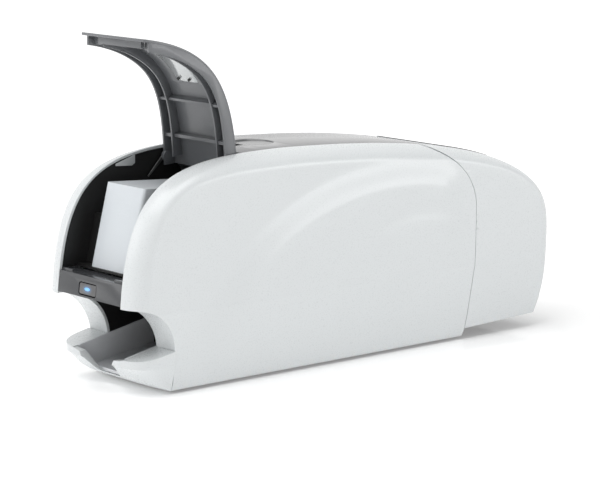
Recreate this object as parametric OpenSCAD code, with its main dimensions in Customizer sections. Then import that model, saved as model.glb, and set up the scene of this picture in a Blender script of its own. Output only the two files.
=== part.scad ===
// Desktop ID card printer with a hinged hopper cover, a hinged top cover that carries
// the print head and ribbon, a front output tray and a rear card flipper.
// Frame: X across, Y along (front is -Y), Z up, origin on the table under the middle.

/* [Body] */
// Overall length, nose to tail
body_len = 484; // [478:1:500]
// Height of the covers above the table
body_h = 194; // [192:1:204]
// Width at the widest height
waist_w = 132; // [131:0.5:140]
// Width along the bottom edge
foot_w = 113; // [112:0.5:118]
// Width of the opening between the side covers
strip_w = 90; // [89.5:0.5:92]
// Depth of the long rounded edges
edge_depth = 15; // [12:0.5:18]
// Wall of the outer covers
wall = 2.5; // [2:0.1:3]
// Height of the covers' bottom edge above the table
ground_gap = 3; // [2.5:0.5:4]
// Clearance between neighbouring covers
seam = 0.6; // [0.4:0.1:0.8]

/* [Cards] */
// Card length
card_len = 85.6; // [85:0.1:86]
// Card width
card_w = 54; // [53.5:0.1:54.2]
// Card thickness
card_t = 0.76; // [0.7:0.01:0.84]
// Cards in the hopper
card_count = 92; // [60:1:94]
// Height of the card path above the table
path_z = 90; // [89:0.5:91]

/* [Hopper] */
// Depth of the hopper cover's hinge axis below the top
hinge_drop = 11.3; // [10.5:0.1:12.5]
// Radius of the hinge pins
hinge_r = 2; // [1.8:0.1:2.3]
// Running clearance of pins and shafts
run = 0.05; // [0.03:0.01:0.08]
// Lean of the card stack
stack_lean = 14.3; // [13:0.1:15]
// Fall of the stacked cards toward the rear
card_tilt = 3.5; // [3:0.1:4]

/* [Front] */
// Height of the front panel's bottom edge
panel_z = 77.8; // [77:0.2:79]
// Height of the front panel
panel_h = 18; // [16:0.5:19]
// Width of the power button
button_w = 23.5; // [20:0.5:26]
// Height of the power button
button_h = 9.2; // [8:0.2:10]
// Width of the card channel in the output tray
channel_w = 70; // [68:0.5:72]
// Radius of the round bay above the output tray
bay_r = 42; // [40:0.5:43]
// Width of the finger notch in the tray's front wall
notch_w = 24; // [20:1:28]

/* [Drive] */
// Radius of the feed rollers
roller_r = 8; // [7:0.25:8.5]
// Radius of the roller shafts
shaft_r = 3; // [2.5:0.1:3.5]
// Radius of the idler rollers
idler_r = 5; // [4:0.25:6]
// Outer radius of a ribbon roll
ribbon_r = 15; // [12:0.5:17]
// Radius of the flipper's side discs
flip_r = 40; // [36:1:42]
// Radius of the feet
foot_r = 8; // [6:0.5:10]

/* [Hidden] */
$fn = 64;

white = [0.87, 0.88, 0.885];
grey = [0.46, 0.47, 0.50];
dark = [0.28, 0.29, 0.30];
black = [0.09, 0.09, 0.10];
steel = [0.68, 0.70, 0.72];

half = body_len / 2;
strip_x = strip_w / 2;
waist_x = waist_w / 2;
foot_x = foot_w / 2;
waist_z = 70;
nose_z = 72;
tail_z = 95;
crown_y = -72;
// Handles of the outline's curves: nose lean and rise, crown reach forward and back, its drop
// toward the tail, and the tail's rise
nose_lean = 8;
nose_rise = (body_h - nose_z) * 0.91;
crown_front = (half + crown_y) * 0.70;
crown_rear = (half - crown_y) * 0.925;
crown_drop = 6.6;
tail_rise = (body_h - tail_z) * 0.405;
// Side covers end and the rear cover begins here
seam_y = half - 105;
seam_z = body_h - 52;
seam_r = 34;
rear_z = 10.5;
rear_tilt = 2;

// Point t of a cubic curve through four control points
function cubic(p, t) = pow(1 - t, 3) * p[0] + 3 * pow(1 - t, 2) * t * p[1]
  + 3 * (1 - t) * t * t * p[2] + pow(t, 3) * p[3];

outline_n = 14;
tail_tuck = 20;
tail_steps = 6;

// Upper outline of the body in the Y-Z plane, moved inward by d
function nose_curve(d) = [[-half + d, nose_z], [-half + d + nose_lean, nose_z + nose_rise],
  [crown_y - crown_front, body_h - d], [crown_y, body_h - d]];
function tail_curve(d) = [[crown_y, body_h - d], [crown_y + crown_rear, body_h - crown_drop - d],
  [half - d, tail_z + tail_rise], [half - d, tail_z]];
function upper_outline(d, n = outline_n) = concat(
  [for (i = [0:n - 1]) cubic(nose_curve(d), i / n)],
  [for (i = [0:n]) cubic(tail_curve(d), i / n)]);

// Height of the outline above a place on its nose half, found by halving
function outline_t(y, d, lo = 0, hi = 1, n = 24) = n == 0 ? lo
  : cubic(nose_curve(d), (lo + hi) / 2)[0] < y ? outline_t(y, d, (lo + hi) / 2, hi, n - 1)
  : outline_t(y, d, lo, (lo + hi) / 2, n - 1);
function outline_tz(z, d, lo = 0, hi = 1, n = 24) = n == 0 ? lo
  : cubic(nose_curve(d), (lo + hi) / 2)[1] < z ? outline_tz(z, d, (lo + hi) / 2, hi, n - 1)
  : outline_tz(z, d, lo, (lo + hi) / 2, n - 1);

// A Y-Z outline extruded along X from x0 to x1
module along_x(x0, x1) {
  translate([x0, 0, 0])
    rotate([90, 0, 90])
      linear_extrude(x1 - x0) children();
}

module rod_x(x0, x1, r, y, z) {
  translate([x0, y, z])
    rotate([0, 90, 0])
      cylinder(r = r, h = x1 - x0);
}

module box(lo, hi) {
  translate(lo)
    cube(hi - lo);
}

module both_sides() {
  children();
  mirror([1, 0, 0]) children();
}

// How far the tail draws in below its widest height
function tail_in(z) = tail_tuck * pow(max(0, tail_z - z) / (tail_z - ground_gap), 2.6);

// Section of the body at angle a round its long edge, on side s, moved inward by d
function ring(a, s, d) =
  let (x = strip_x + (waist_x - strip_x) * sin(a),
    inset = edge_depth * (1 - cos(a)) + d,
    low = ground_gap + max(0, x - foot_x) / (waist_x - foot_x) * (waist_z - ground_gap) - (d > 0 ? 1 : 0))
  [for (p = concat(upper_outline(inset),
    [for (i = [1:tail_steps])
      let (z = tail_z + (low - tail_z) * i / tail_steps) [half - inset - tail_in(z), z]],
    [[-half + inset, low]]))
    [s * (x - d), p[0], p[1]]];

// Solid whose skin runs from ring to ring, closed flat at both ends
module loft(rings) {
  n = len(rings[0]);
  last = len(rings) - 1;
  polyhedron(
    points = [for (r = rings) for (p = r) p],
    faces = concat(
      [[for (i = [n - 1:-1:0]) i]],
      [for (j = [0:last - 1]) for (i = [0:n - 1]) [j * n + n + i, j * n + i, j * n + n + (i + 1) % n]],
      [for (j = [0:last - 1]) for (i = [0:n - 1]) [j * n + n + (i + 1) % n, j * n + i, j * n + (i + 1) % n]],
      [[for (i = [0:n - 1]) last * n + i]]));
}

// Whole body as a solid, its skin moved inward by d
module body_solid(d) {
  loft(concat([for (a = [90:-15:0]) ring(a, -1, d)], [for (a = [0:15:90]) ring(a, 1, d)]));
}

// Everything behind the seam between side covers and rear cover
module rear_zone(gap) {
  along_x(-waist_x - 1, waist_x + 1)
    polygon(concat(
      [[half + 1, -1], [seam_y + gap, -1]],
      [for (a = [0:8:80]) [seam_y + gap - seam_r + seam_r * cos(a), seam_z + seam_r * sin(a)]],
      [[seam_y + gap - seam_r, body_h + 1], [half + 1, body_h + 1]]));
}

// The round bay over the output tray, and the space in front of the side covers' feet
bay_y = -half + 2;
bay_z = 34;
foot_front = bay_y + bay_r;
module bay_zone(d) {
  rod_x(-waist_x - 1, waist_x + 1, bay_r + d, bay_y, bay_z);
  box([-waist_x - 1, -half - 1, -1], [waist_x + 1, foot_front + d, bay_z]);
}

module side_cover() {
  difference() {
    body_solid(0);
    body_solid(wall);
    rear_zone(-seam);
    box([-waist_x - 1, -half - 1, -1], [strip_x, half + 1, body_h + 1]);
    bay_zone(0);
  }
  difference() {
    intersection() {
      // Let into half of the cover's wall, so that the two are one moulding
      body_solid(wall / 2);
      box([channel_w / 2, -half + 4, ground_gap], [waist_x, seam_y, panel_z - 0.5]);
      bay_zone(wall);
    }
    bay_zone(0);
  }
}

module right_side_cover() {
  color(white) side_cover();
}

module left_side_cover() {
  color(white)
    mirror([1, 0, 0]) side_cover();
}

module rear_cover() {
  color(white)
    difference() {
      body_solid(0);
      body_solid(wall);
      difference() {
        box([-waist_x - 2, -half - 2, -2], [waist_x + 2, half + 2, body_h + 2]);
        rear_zone(0);
      }
      translate([0, seam_y, rear_z])
        rotate([rear_tilt, 0, 0])
          box([-waist_x - 2, -20, -40], [waist_x + 2, half, 0]);
      socket_cut(inlet_x, inlet_w, inlet_w);
      socket_cut(usb_x, usb_w, usb_h);
      socket_cut(lan_x, lan_w, lan_h);
      socket_cut(switch_x, switch_w, switch_h);
    }
}

// ---- Hopper cover: drawn closed, then turned open about its hinge ----
hinge_y = -half + 114.1;
hinge_z = body_h - hinge_drop;
lid_x = strip_x - 1.5;
lid_skin = 2.5;
rib_depth = 11;
rib_tip = 8;
rib_taper = 0.3;
// How far the ribs reach into the skin and into each other
rib_root = 0.5;
rib_t = 1.8;
rib_x = card_w / 2 + 3;
lid_tail_y = hinge_y + 7;
lid_lip_z = panel_z + panel_h + seam;
lug_r = 5;
flange_t = 2.2;
lid_t0 = outline_tz(lid_lip_z, 0);
lid_t1 = outline_t(lid_tail_y, 0);

// Band of the closed cover between insets d0 and d1, from curve place t0 to t1
function lid_band(d0, d1, t0, t1, n = 12) = concat(
  [for (i = [0:n]) cubic(nose_curve(d0), t0 + (t1 - t0) * i / n)],
  [for (i = [n:-1:0]) cubic(nose_curve(d1), t0 + (t1 - t0) * i / n)]);

// Side of a rib from curve place t0 to t1, shallower toward the cover's free tip
function rib_height(t) = rib_tip + (rib_depth - rib_tip) * min(1, max(0, t - lid_t0) / rib_taper);
function lid_rib(share, t0, t1, n = 12, root = rib_root) = concat(
  [for (i = [0:n]) cubic(nose_curve(lid_skin - root), t0 + (t1 - t0) * i / n)],
  [for (i = [n:-1:0]) let (t = t0 + (t1 - t0) * i / n)
    cubic(nose_curve(lid_skin + share * rib_height(t)), t)]);

module opened() {
  translate([0, hinge_y, hinge_z])
    rotate([-90, 0, 0])
      translate([0, -hinge_y, -hinge_z]) children();
}

// Places of the window and the cross ribs along the nose curve
window_x = 14.5;
window_t0 = 0.32;
window_t1 = 0.51;
cross_ribs = [0.105, 0.585, 0.74];
stub_ribs = [0.12, 0.585, 0.74];
rib_dt = 0.012;
rib_start = 0.05;
rib_end = 0.03;
// Depth of the cross ribs and of the short ribs beside them, as shares of the long ribs' depth
cross_share = 0.7;
stub_share = 0.8;
lug_step = 1.6;
window_gap = 0.1;
window_dt = 0.002;
window_inset = 0.4;
module hopper_cover() {
  color(dark)
    opened()
      difference() {
        union() {
          along_x(-lid_x, lid_x) polygon(lid_band(0, lid_skin, lid_t0, lid_t1));
          both_sides() {
            along_x(lid_x - flange_t, lid_x)
              polygon(lid_rib(1, lid_t0, lid_t1, 12, 0));
            along_x(rib_x, rib_x + rib_t)
              polygon(lid_rib(1, lid_t0 + rib_start, lid_t1 - rib_end));
            rod_x(lid_x - flange_t - lug_step, lid_x, lug_r, hinge_y, hinge_z);
          }
          for (t = cross_ribs)
            along_x(-rib_x - rib_root, rib_x + rib_root)
              polygon(lid_rib(cross_share, t, t + rib_dt, 1));
          both_sides()
            for (t = stub_ribs)
              along_x(rib_x + rib_root, lid_x - flange_t + rib_root)
                polygon(lid_rib(stub_share, t, t + rib_dt, 1));
        }
        both_sides() rod_x(lid_x - flange_t - 3, lid_x + 1, hinge_r + run, hinge_y, hinge_z);
        along_x(-window_x, window_x)
          polygon(lid_band(-1, lid_skin + 1, window_t0, window_t1, 4));
      }
}

module hopper_window() {
  color(steel)
    opened()
      along_x(-window_x + window_gap, window_x - window_gap)
        polygon(lid_band(window_inset, lid_skin + 0.2, window_t0 + window_dt, window_t1 - window_dt, 4));
}

module hopper_hinge_pins() {
  color(steel)
    both_sides() rod_x(lid_x - flange_t - 1, bin_x + bin_t, hinge_r, hinge_y, hinge_z);
}

// ---- Hopper ----
bin_x = strip_x + 0.6;
bin_t = 1.6;
floor_t = 2;
stack_y = -half + 21.7;
stack_z = panel_z + panel_h + 3.3;
stack_h = card_count * card_t;
card_run = card_len * cos(card_tilt);
card_drop = card_len * sin(card_tilt);
lean_run = tan(stack_lean);
pick_y = stack_y + 45.3;
cover_inset = wall + 0.9;

function floor_z(y) = stack_z - (y - stack_y) * tan(card_tilt);

module card_stack() {
  color(white)
    along_x(-card_w / 2, card_w / 2)
      polygon([[stack_y, stack_z], [stack_y + stack_h * lean_run, stack_z + stack_h],
        [stack_y + stack_h * lean_run + card_run, stack_z + stack_h - card_drop],
        [stack_y + card_run, stack_z - card_drop]]);
}

back_y = stack_y + card_run + 0.6;
back_top = stack_z + stack_h - card_drop + 2;
bin_front = stack_y - 1.7;
guide_gap = 0.6;
guide_w = 2;
guide_at = [0.1, 0.82];
wall_reach = 26;
// Height of the opening for one card at the foot of the rear wall, and the wall's thickness
card_way = 5;
rear_wall = 2;
roller_gap = 2;
module hopper_bin() {
  side = concat([for (i = [0:10]) cubic(nose_curve(cover_inset),
    lid_t0 + (lid_t1 - 0.01 - lid_t0) * i / 10)],
    [[back_y + wall_reach, back_top], [back_y, floor_z(back_y) - floor_t],
      [bin_front, floor_z(bin_front) - floor_t]]);
  color(black) {
    difference() {
      union() {
        both_sides()
          along_x(bin_x, bin_x + bin_t) polygon(side);
        along_x(-bin_x, bin_x)
          polygon([[bin_front, floor_z(bin_front)], [back_y, floor_z(back_y)],
            [back_y, floor_z(back_y) - floor_t], [bin_front, floor_z(bin_front) - floor_t]]);
        // Wall behind the cards, leaning with the stack, open at its foot for one card
        along_x(-bin_x, bin_x)
          polygon([[back_y + card_way * lean_run, floor_z(back_y) + card_way],
            [back_y + (back_top - floor_z(back_y)) * lean_run, back_top],
            [back_y + (back_top - floor_z(back_y)) * lean_run + rear_wall, back_top],
            [back_y + card_way * lean_run + rear_wall, floor_z(back_y) + card_way]]);
        // Guides beside the stack
        both_sides()
          for (s = guide_at)
            along_x(card_w / 2 + guide_gap, bin_x)
              polygon([for (h = [0.5, stack_h * 0.6]) for (e = [0, 1])
                let (w = (h < 1) ? e : 1 - e)
                [stack_y + card_run * s + h * lean_run + w * guide_w, floor_z(stack_y + card_run * s) + h]]);
      }
      box([-card_w / 2 + roller_gap, pick_y - pick_r - roller_gap, floor_z(pick_y) - 10],
        [card_w / 2 - roller_gap, pick_y + pick_r + roller_gap, floor_z(pick_y) + 6]);
      both_sides() rod_x(bin_x - 1, bin_x + bin_t + 1, hinge_r, hinge_y, hinge_z);
    }
  }
}

// ---- Front panel and power button ----
panel_front = -half + 0.7;
panel_lean = 2.3;
panel_x = strip_x - 0.3;
panel_deep = 19.5;
panel_skin = 3;
button_x = -3.2;
button_z = panel_z + 2.5;
button_gap = 0.6;
module front_panel() {
  color(grey)
    difference() {
      along_x(-panel_x, panel_x)
        polygon([[panel_front, panel_z], [panel_front + panel_lean, panel_z + panel_h],
          [panel_front + panel_deep, panel_z + panel_h],
            [panel_front + panel_deep, panel_z + panel_h - panel_skin],
          [panel_front + panel_lean + panel_skin, panel_z + panel_h - panel_skin],
          [panel_front + panel_skin, panel_z + panel_skin],
          [panel_front + panel_deep, panel_z + panel_skin], [panel_front + panel_deep, panel_z]]);
      box([button_x - button_w / 2 - button_gap, -half - 1, button_z - button_gap],
        [button_x + button_w / 2 + button_gap, panel_front + panel_deep - 1,
          button_z + button_h + button_gap]);
    }
}

button_face = 0.3;
module button_profile(h0, h1, deep) {
  polygon([for (h = [h0, h1]) for (e = [0, 1])
    let (w = (h == h0) ? e : 1 - e)
    [panel_front + button_face + panel_lean * (h - panel_z) / panel_h + w * deep, h]]);
}

light_w = 9;
light_h = 3.6;
light_x = button_x - 0.5;
light_z = button_z + button_h / 2;
module power_button() {
  color(grey)
    difference() {
      along_x(button_x - button_w / 2, button_x + button_w / 2)
        button_profile(button_z, button_z + button_h, 7);
      light_body(-0.1);
    }
}

module light_body(lift) {
  along_x(light_x - light_w / 2, light_x + light_w / 2)
    translate([lift, 0, 0])
      button_profile(light_z - light_h / 2, light_z + light_h / 2, 2.5 - lift);
}

module button_light() {
  color("dodgerblue") light_body(0);
}

// ---- Output tray, liner and chute ----
tray_rear = foot_front - seam;
tray_front = -half + 7;
tray_lip_z = 28.8;
tray_rear_z = bay_z + 3.5;
tray_slope = 0.2;
tray_floor_z = 12.4;
floor_slope = 0.155;
tray_top_x = waist_x - 4;
tray_foot_x = foot_x - 1.2;
// Height over which the tray widens, and how squared its outline in plan is, 2 being round
tray_spread = 26;
tray_square = 4;
liner_front = tray_front + 16.4;
liner_t = 1.4;
liner_gap = 0.2;
wall_lean = 0.6;
corner_z = tray_lip_z + 2.5;

function tray_top(y) = tray_rear_z + (y - tray_rear) * tray_slope;
function liner_floor(y) = tray_floor_z + (y - liner_front) * floor_slope;
// Place of the channel's front wall at a height
function wall_y(z) = liner_front - (z - tray_floor_z) * wall_lean;

// The tray's outline in plan at height z, its foremost point at y
function tray_ring(y, z) =
  let (across = tray_foot_x + (tray_top_x - tray_foot_x) * min(1, (z - ground_gap) / tray_spread))
  [for (a = [0:7.5:180]) [across * sign(cos(a)) * pow(abs(cos(a)), 2 / tray_square),
    tray_rear + (y - tray_rear) * pow(abs(sin(a)), 2 / tray_square), z]];

// The tray's front seen from the side, curling in to its foot
bow = [[tray_front + 34.7, ground_gap], [tray_front + 9.7, ground_gap + 5.7],
  [tray_front + 6.6, ground_gap + 18.9], [tray_front, ground_gap + 21.5]];
module tray_outside() {
  intersection() {
    loft([for (p = concat([for (i = [0:8]) cubic(bow, i / 8)], [[tray_front, tray_rear_z + 1]]))
      tray_ring(p[0], p[1])]);
    along_x(-tray_top_x - 1, tray_top_x + 1)
      polygon([[tray_front - 1, 0], [tray_front - 1, tray_top(tray_front - 1)],
        [tray_rear + 1, tray_top(tray_rear + 1)], [tray_rear + 1, 0]]);
  }
}

liner_foot = tray_floor_z - liner_t - liner_gap;
channel_top = tray_lip_z + 20;
notch_reach = 25;
// Right-hand edge of the finger notch: a soft S up to the top of the front wall
notch_edge = [[notch_w / 2 + 0.5, tray_floor_z - 1.4], [notch_w / 2 + 8, tray_floor_z + 1.6],
  [notch_w / 2 + 8.5, tray_lip_z - 5], [notch_w / 2 + 12.5, tray_lip_z]];
lip_rise = 1.2;
module output_tray() {
  ch = channel_w / 2;
  edge = [for (i = [0:8]) cubic(notch_edge, i / 8)];
  color(white)
    difference() {
      tray_outside();
      // Card channel, open to the rear
      along_x(-ch, ch)
        polygon([[wall_y(liner_foot), liner_foot], [wall_y(channel_top), channel_top],
          [tray_rear + 1, channel_top], [tray_rear + 1, liner_floor(tray_rear) - liner_t - liner_gap]]);
      // Finger notch in the front wall
      translate([0, liner_front + notch_reach, 0])
        rotate([90, 0, 0])
          linear_extrude(2 * notch_reach)
            polygon(concat(edge, [[ch, tray_lip_z + lip_rise], [ch, channel_top], [-ch, channel_top],
              [-ch, tray_lip_z + lip_rise]],
              [for (i = [8:-1:0]) [-edge[i][0], edge[i][1]]]));
    }
}

liner_rear = -half + 92;
liner_edge = wall_y(liner_foot) + liner_gap;
lip_h = 1.2;
module tray_liner() {
  ch = channel_w / 2 - 0.1;
  color(grey) {
    along_x(-ch, ch)
      polygon([[liner_edge, liner_floor(liner_edge)], [liner_rear, liner_floor(liner_rear)],
        [liner_rear, liner_floor(liner_rear) - liner_t],
          [liner_edge, liner_floor(liner_edge) - liner_t]]);
    // Raised lip along the front edge
    along_x(-ch, ch)
      polygon([[liner_edge, liner_floor(liner_edge) - liner_t],
        [liner_edge, liner_floor(liner_edge) + lip_h],
        [liner_edge + liner_t, liner_floor(liner_edge) + lip_h],
        [liner_edge + liner_t, liner_floor(liner_edge) - liner_t / 2]]);
    both_sides()
      along_x(ch - liner_t, ch)
        polygon([[liner_edge, liner_floor(liner_edge) - liner_t],
          [wall_y(corner_z) + liner_gap, corner_z],
          [liner_rear, tray_top(liner_rear)], [liner_rear, liner_floor(liner_rear) - liner_t]]);
  }
}

chute_t = 0.9;
chute_top = 65;
chute_rear = -half + 138;
chute_front = foot_front - 34;
chute_foot = ground_gap + 8;
chute_run = 50;
mouth_z = panel_z - 1;
module output_chute() {
  ch = channel_w / 2;
  color(black)
    difference() {
      union() {
        both_sides()
          along_x(ch + 0.1, ch + 0.1 + chute_t)
            polygon([[chute_front + 4, tray_top(foot_front)], [chute_front, mouth_z],
              [foot_front - 10, mouth_z], [foot_front + 2, chute_top + chute_t],
              [chute_rear, chute_top + chute_t], [chute_rear, chute_foot],
              [foot_front + wall + 1, chute_foot], [foot_front + wall + 1, bay_z]]);
        along_x(-ch - 0.1, ch + 0.1)
          polygon([[foot_front - 22, mouth_z], [foot_front - 20, mouth_z + chute_t],
            [foot_front - 6, mouth_z - 2], [foot_front + 6, chute_top + chute_t],
            [foot_front + chute_run, chute_top + chute_t], [foot_front + chute_run, chute_top],
            [foot_front + 5, chute_top], [foot_front - 8, mouth_z - 4]]);
        along_x(-ch - 0.1, ch + 0.1)
          polygon([[chute_rear - 2, chute_top], [chute_rear, chute_top], [chute_rear, chute_top - 3],
            [liner_rear + 1.4, liner_floor(liner_rear) - 2],
              [liner_rear + 1.4, liner_floor(liner_rear)]]);
      }
      bay_zone(0.3);
      both_sides() rod_x(ch - 1, ch + 3, bay_r + wall + 0.4, bay_y, bay_z);
    }
}

// ---- Base and feet ----
base_x = foot_x - wall - 1;
base_t = 3;
base_front = foot_front + 4;
foot_y = [-half + 70, seam_y - 22];
foot_in = 18;
foot_stem = 3;
rear_step = 13;
module base_chassis() {
  color(black)
    difference() {
      union() {
        box([-base_x, base_front, ground_gap + 0.6], [base_x, seam_y - 4, ground_gap + 0.6 + base_t]);
        box([-base_x + 6, seam_y - 7, ground_gap + 0.6], [base_x - 6, seam_y - 4, rear_step + base_t]);
        box([-base_x + 6, seam_y - 4, rear_step + 1], [base_x - 6, half - 22, rear_step + 1 + base_t]);
      }
      for (y = foot_y) both_sides()
        translate([base_x - foot_in, y, 0]) cylinder(r = foot_stem + run, h = 20);
    }
}

module rubber_feet() {
  color(black)
    for (y = foot_y) both_sides()
      translate([base_x - foot_in, y, 0]) {
        cylinder(r = foot_r, h = ground_gap + 0.6);
        cylinder(r = foot_stem, h = ground_gap + 0.6 + base_t);
      }
}

// ---- Card path: frames, rods, rollers, belts and motor ----
frame_in = 37.5;
frame_t = 1.6;
frame_front = foot_front + 8;
frame_rear = seam_y - 12;
frame_foot = ground_gap + 0.6 + base_t;
roller_z = path_z - roller_r;
pick_r = floor_z(pick_y) - 0.3 - roller_z;
clean_y = -half + 130;
feed_y = [clean_y + 37, clean_y + 112, clean_y + 207];
platen_y = feed_y[1];
idler_z = path_z + card_t + idler_r;
drive_y = [pick_y, clean_y, feed_y[0], platen_y, feed_y[2]];
idler_y = [clean_y, feed_y[0], feed_y[2]];
bush_r = shaft_r + 1.2;
idler_shaft = 2;
pulley_r = 6;
gate_y = clean_y + 18;
gate_z = path_z - 4;
gate_r = 1.5;
motor_y = platen_y + 30;
motor_z = 45;
motor_r = 21;
motor_boss = 6;
rod_r = 3;
rod_at = [[clean_y + 60, 16], [frame_rear - 8, 16], [clean_y + 150, frame_foot + 66],
  [frame_rear - 6, 106]];
hinge2_y = seam_y - 43;
hinge2_z = body_h - 23;
hinge2_r = 2.5;

module side_frame() {
  difference() {
    union() {
      along_x(frame_in, frame_in + frame_t)
        polygon([[frame_front, frame_foot], [frame_front, floor_z(frame_front) - floor_t - 0.5],
          [clean_y - 14, floor_z(clean_y - 14) - floor_t - 0.5], [clean_y - 10, path_z + 20],
          [hinge2_y - 9, path_z + 20], [hinge2_y - 5, hinge2_z + 5], [hinge2_y + 5, hinge2_z + 5],
          [hinge2_y + 9, path_z + 20], [frame_rear, path_z + 20], [frame_rear, frame_foot]]);
      box([frame_in, frame_front + 4, frame_foot], [frame_in + 10, frame_front + 20, frame_foot + 1.5]);
      box([frame_in, frame_rear - 24, frame_foot], [frame_in + 10, frame_rear - 6, frame_foot + 1.5]);
    }
    for (y = drive_y) rod_x(frame_in - 1, frame_in + 3, bush_r, y, roller_z);
    for (y = idler_y) rod_x(frame_in - 1, frame_in + 3, idler_shaft + run, y, idler_z);
    for (p = rod_at) rod_x(frame_in - 1, frame_in + 3, rod_r - 1, p[0], p[1]);
    rod_x(frame_in - 1, frame_in + 3, gate_r + run, gate_y, gate_z);
    rod_x(frame_in - 1, frame_in + 3, hinge2_r, hinge2_y, hinge2_z);
    rod_x(frame_in - 1, frame_in + 3, motor_boss + run, motor_y, motor_z);
    box([frame_in - 1, clean_y + 46, 24], [frame_in + 3, platen_y - 8, 60]);
  }
}

module left_frame() {
  color(steel)
    mirror([1, 0, 0]) side_frame();
}

module right_frame() {
  color(steel) side_frame();
}

module frame_rods() {
  color(steel)
    for (p = rod_at) {
      rod_x(-frame_in, frame_in, rod_r, p[0], p[1]);
      both_sides() rod_x(frame_in - 1, frame_in + frame_t, rod_r - 1, p[0], p[1]);
    }
}

module frame_screws() {
  color(steel)
    for (p = rod_at) both_sides() {
      rod_x(frame_in + frame_t, frame_in + frame_t + 1.8, 3.2, p[0], p[1]);
    }
}

module roller_bushes() {
  color("gold")
    for (y = drive_y) both_sides()
      difference() {
        rod_x(frame_in - 0.6, frame_in + frame_t, bush_r, y, roller_z);
        rod_x(frame_in - 2, frame_in + frame_t + 2, shaft_r + run, y, roller_z);
      }
}

belt_x = frame_in + frame_t + 2;
belt_w = 4;
belt2_x = belt_x + belt_w + 1.4;
module driven_roller(y, r, half_w) {
  rod_x(-half_w, half_w, r, y, roller_z);
  rod_x(-frame_in - frame_t - 0.6, belt_x + belt_w, shaft_r, y, roller_z);
  rod_x(belt_x, belt_x + belt_w, pulley_r, y, roller_z);
}

roll_x = card_w / 2 + 1;
module pick_roller() {
  color(dark) driven_roller(pick_y, pick_r, card_w / 2 - 4);
}
module cleaning_roller() {
  color("pink") driven_roller(clean_y, roller_r, roll_x);
}
module front_feed_roller() {
  color(dark) driven_roller(feed_y[0], roller_r, roll_x);
}
module platen_roller() {
  color(dark) {
    driven_roller(platen_y, roller_r, roll_x);
    rod_x(belt_x, belt2_x + belt_w, shaft_r, platen_y, roller_z);
    rod_x(belt2_x, belt2_x + belt_w, pulley_r, platen_y, roller_z);
  }
}
module rear_feed_roller() {
  color(dark) driven_roller(feed_y[2], roller_r, roll_x);
}

module idler(y) {
  rod_x(-roll_x, roll_x, idler_r, y, idler_z);
  rod_x(-frame_in - frame_t - 0.6, frame_in + frame_t + 0.6, idler_shaft, y, idler_z);
}
module cleaning_idler() {
  color(steel) idler(clean_y);
}
module front_idler() {
  color(steel) idler(feed_y[0]);
}
module rear_idler() {
  color(steel) idler(feed_y[2]);
}

belt_gap = 0.3;
belt_t = 1.2;
// Line round two circles with centres a and b, moved outward by d
function loop_line(a, b, ra, rb, d) =
  let (along = atan2(b[1] - a[1], b[0] - a[0]), lead = asin((ra - rb) / norm(b - a)))
  concat(
    [for (i = [0:12]) a + (ra + d) * dir(along + 90 - lead + i * (180 + 2 * lead) / 12)],
    [for (i = [0:12]) b + (rb + d) * dir(along - 90 + lead + i * (180 - 2 * lead) / 12)]);
function dir(a) = [cos(a), sin(a)];
module loop(x0, a, b, ra, rb) {
  along_x(x0, x0 + belt_w)
    difference() {
      polygon(loop_line(a, b, ra, rb, belt_gap + belt_t));
      polygon(loop_line(a, b, ra, rb, belt_gap));
    }
}

module feed_belt() {
  color(black) loop(belt_x, [pick_y, roller_z], [feed_y[2], roller_z], pulley_r, pulley_r);
}
module drive_belt() {
  color(black) loop(belt2_x, [platen_y, roller_z], [motor_y, motor_z], pulley_r, pulley_r);
}
motor_shaft = 2.5;
module main_motor() {
  color(steel)
    difference() {
      union() {
        rod_x(frame_in - 42, frame_in, motor_r, motor_y, motor_z);
        rod_x(frame_in - 1, frame_in + frame_t, motor_boss, motor_y, motor_z);
      }
      rod_x(frame_in - 22, frame_in + 3, motor_shaft + run, motor_y, motor_z);
    }
}
module motor_pulley() {
  color(steel) {
    rod_x(frame_in - 21, belt2_x + belt_w, motor_shaft, motor_y, motor_z);
    rod_x(belt2_x, belt2_x + belt_w, pulley_r, motor_y, motor_z);
  }
}

module divert_gate() {
  color(grey) {
    rod_x(-frame_in - frame_t, frame_in + frame_t, gate_r, gate_y, gate_z);
    along_x(-roll_x, roll_x)
      polygon([[gate_y - 1.4, gate_z - 1], [gate_y - 8, gate_z + 2.4], [gate_y + 1, gate_z + 1.4],
        [gate_y + 1.4, gate_z - 1]]);
  }
}

// ---- Top cover with print head and ribbon ----
top_x = strip_x - seam;
top_front = hinge_y + 11.8;
top_rear = seam_y - seam_r - 4;
function tail_t(y, d, lo = 0, hi = 1, n = 24) = n == 0 ? lo
  : cubic(tail_curve(d), (lo + hi) / 2)[0] < y ? tail_t(y, d, (lo + hi) / 2, hi, n - 1)
  : tail_t(y, d, lo, (lo + hi) / 2, n - 1);
// Band of the upper outline from a place on the nose half to one on the tail half
function top_band(y0, y1, d) = let (t0 = outline_t(y0, d), t1 = tail_t(y1, d)) concat(
  [for (i = [0:5]) cubic(nose_curve(d), t0 + (1 - t0) * i / 6)],
  [for (i = [0:8]) cubic(tail_curve(d), t1 * i / 8)]);
function tail_band(y0, y1, d) = let (t0 = tail_t(y0, d), t1 = tail_t(y1, d))
  [for (i = [0:8]) cubic(tail_curve(d), t0 + (t1 - t0) * i / 8)];
function reversed(a) = [for (i = [len(a) - 1:-1:0]) a[i]];

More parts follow.
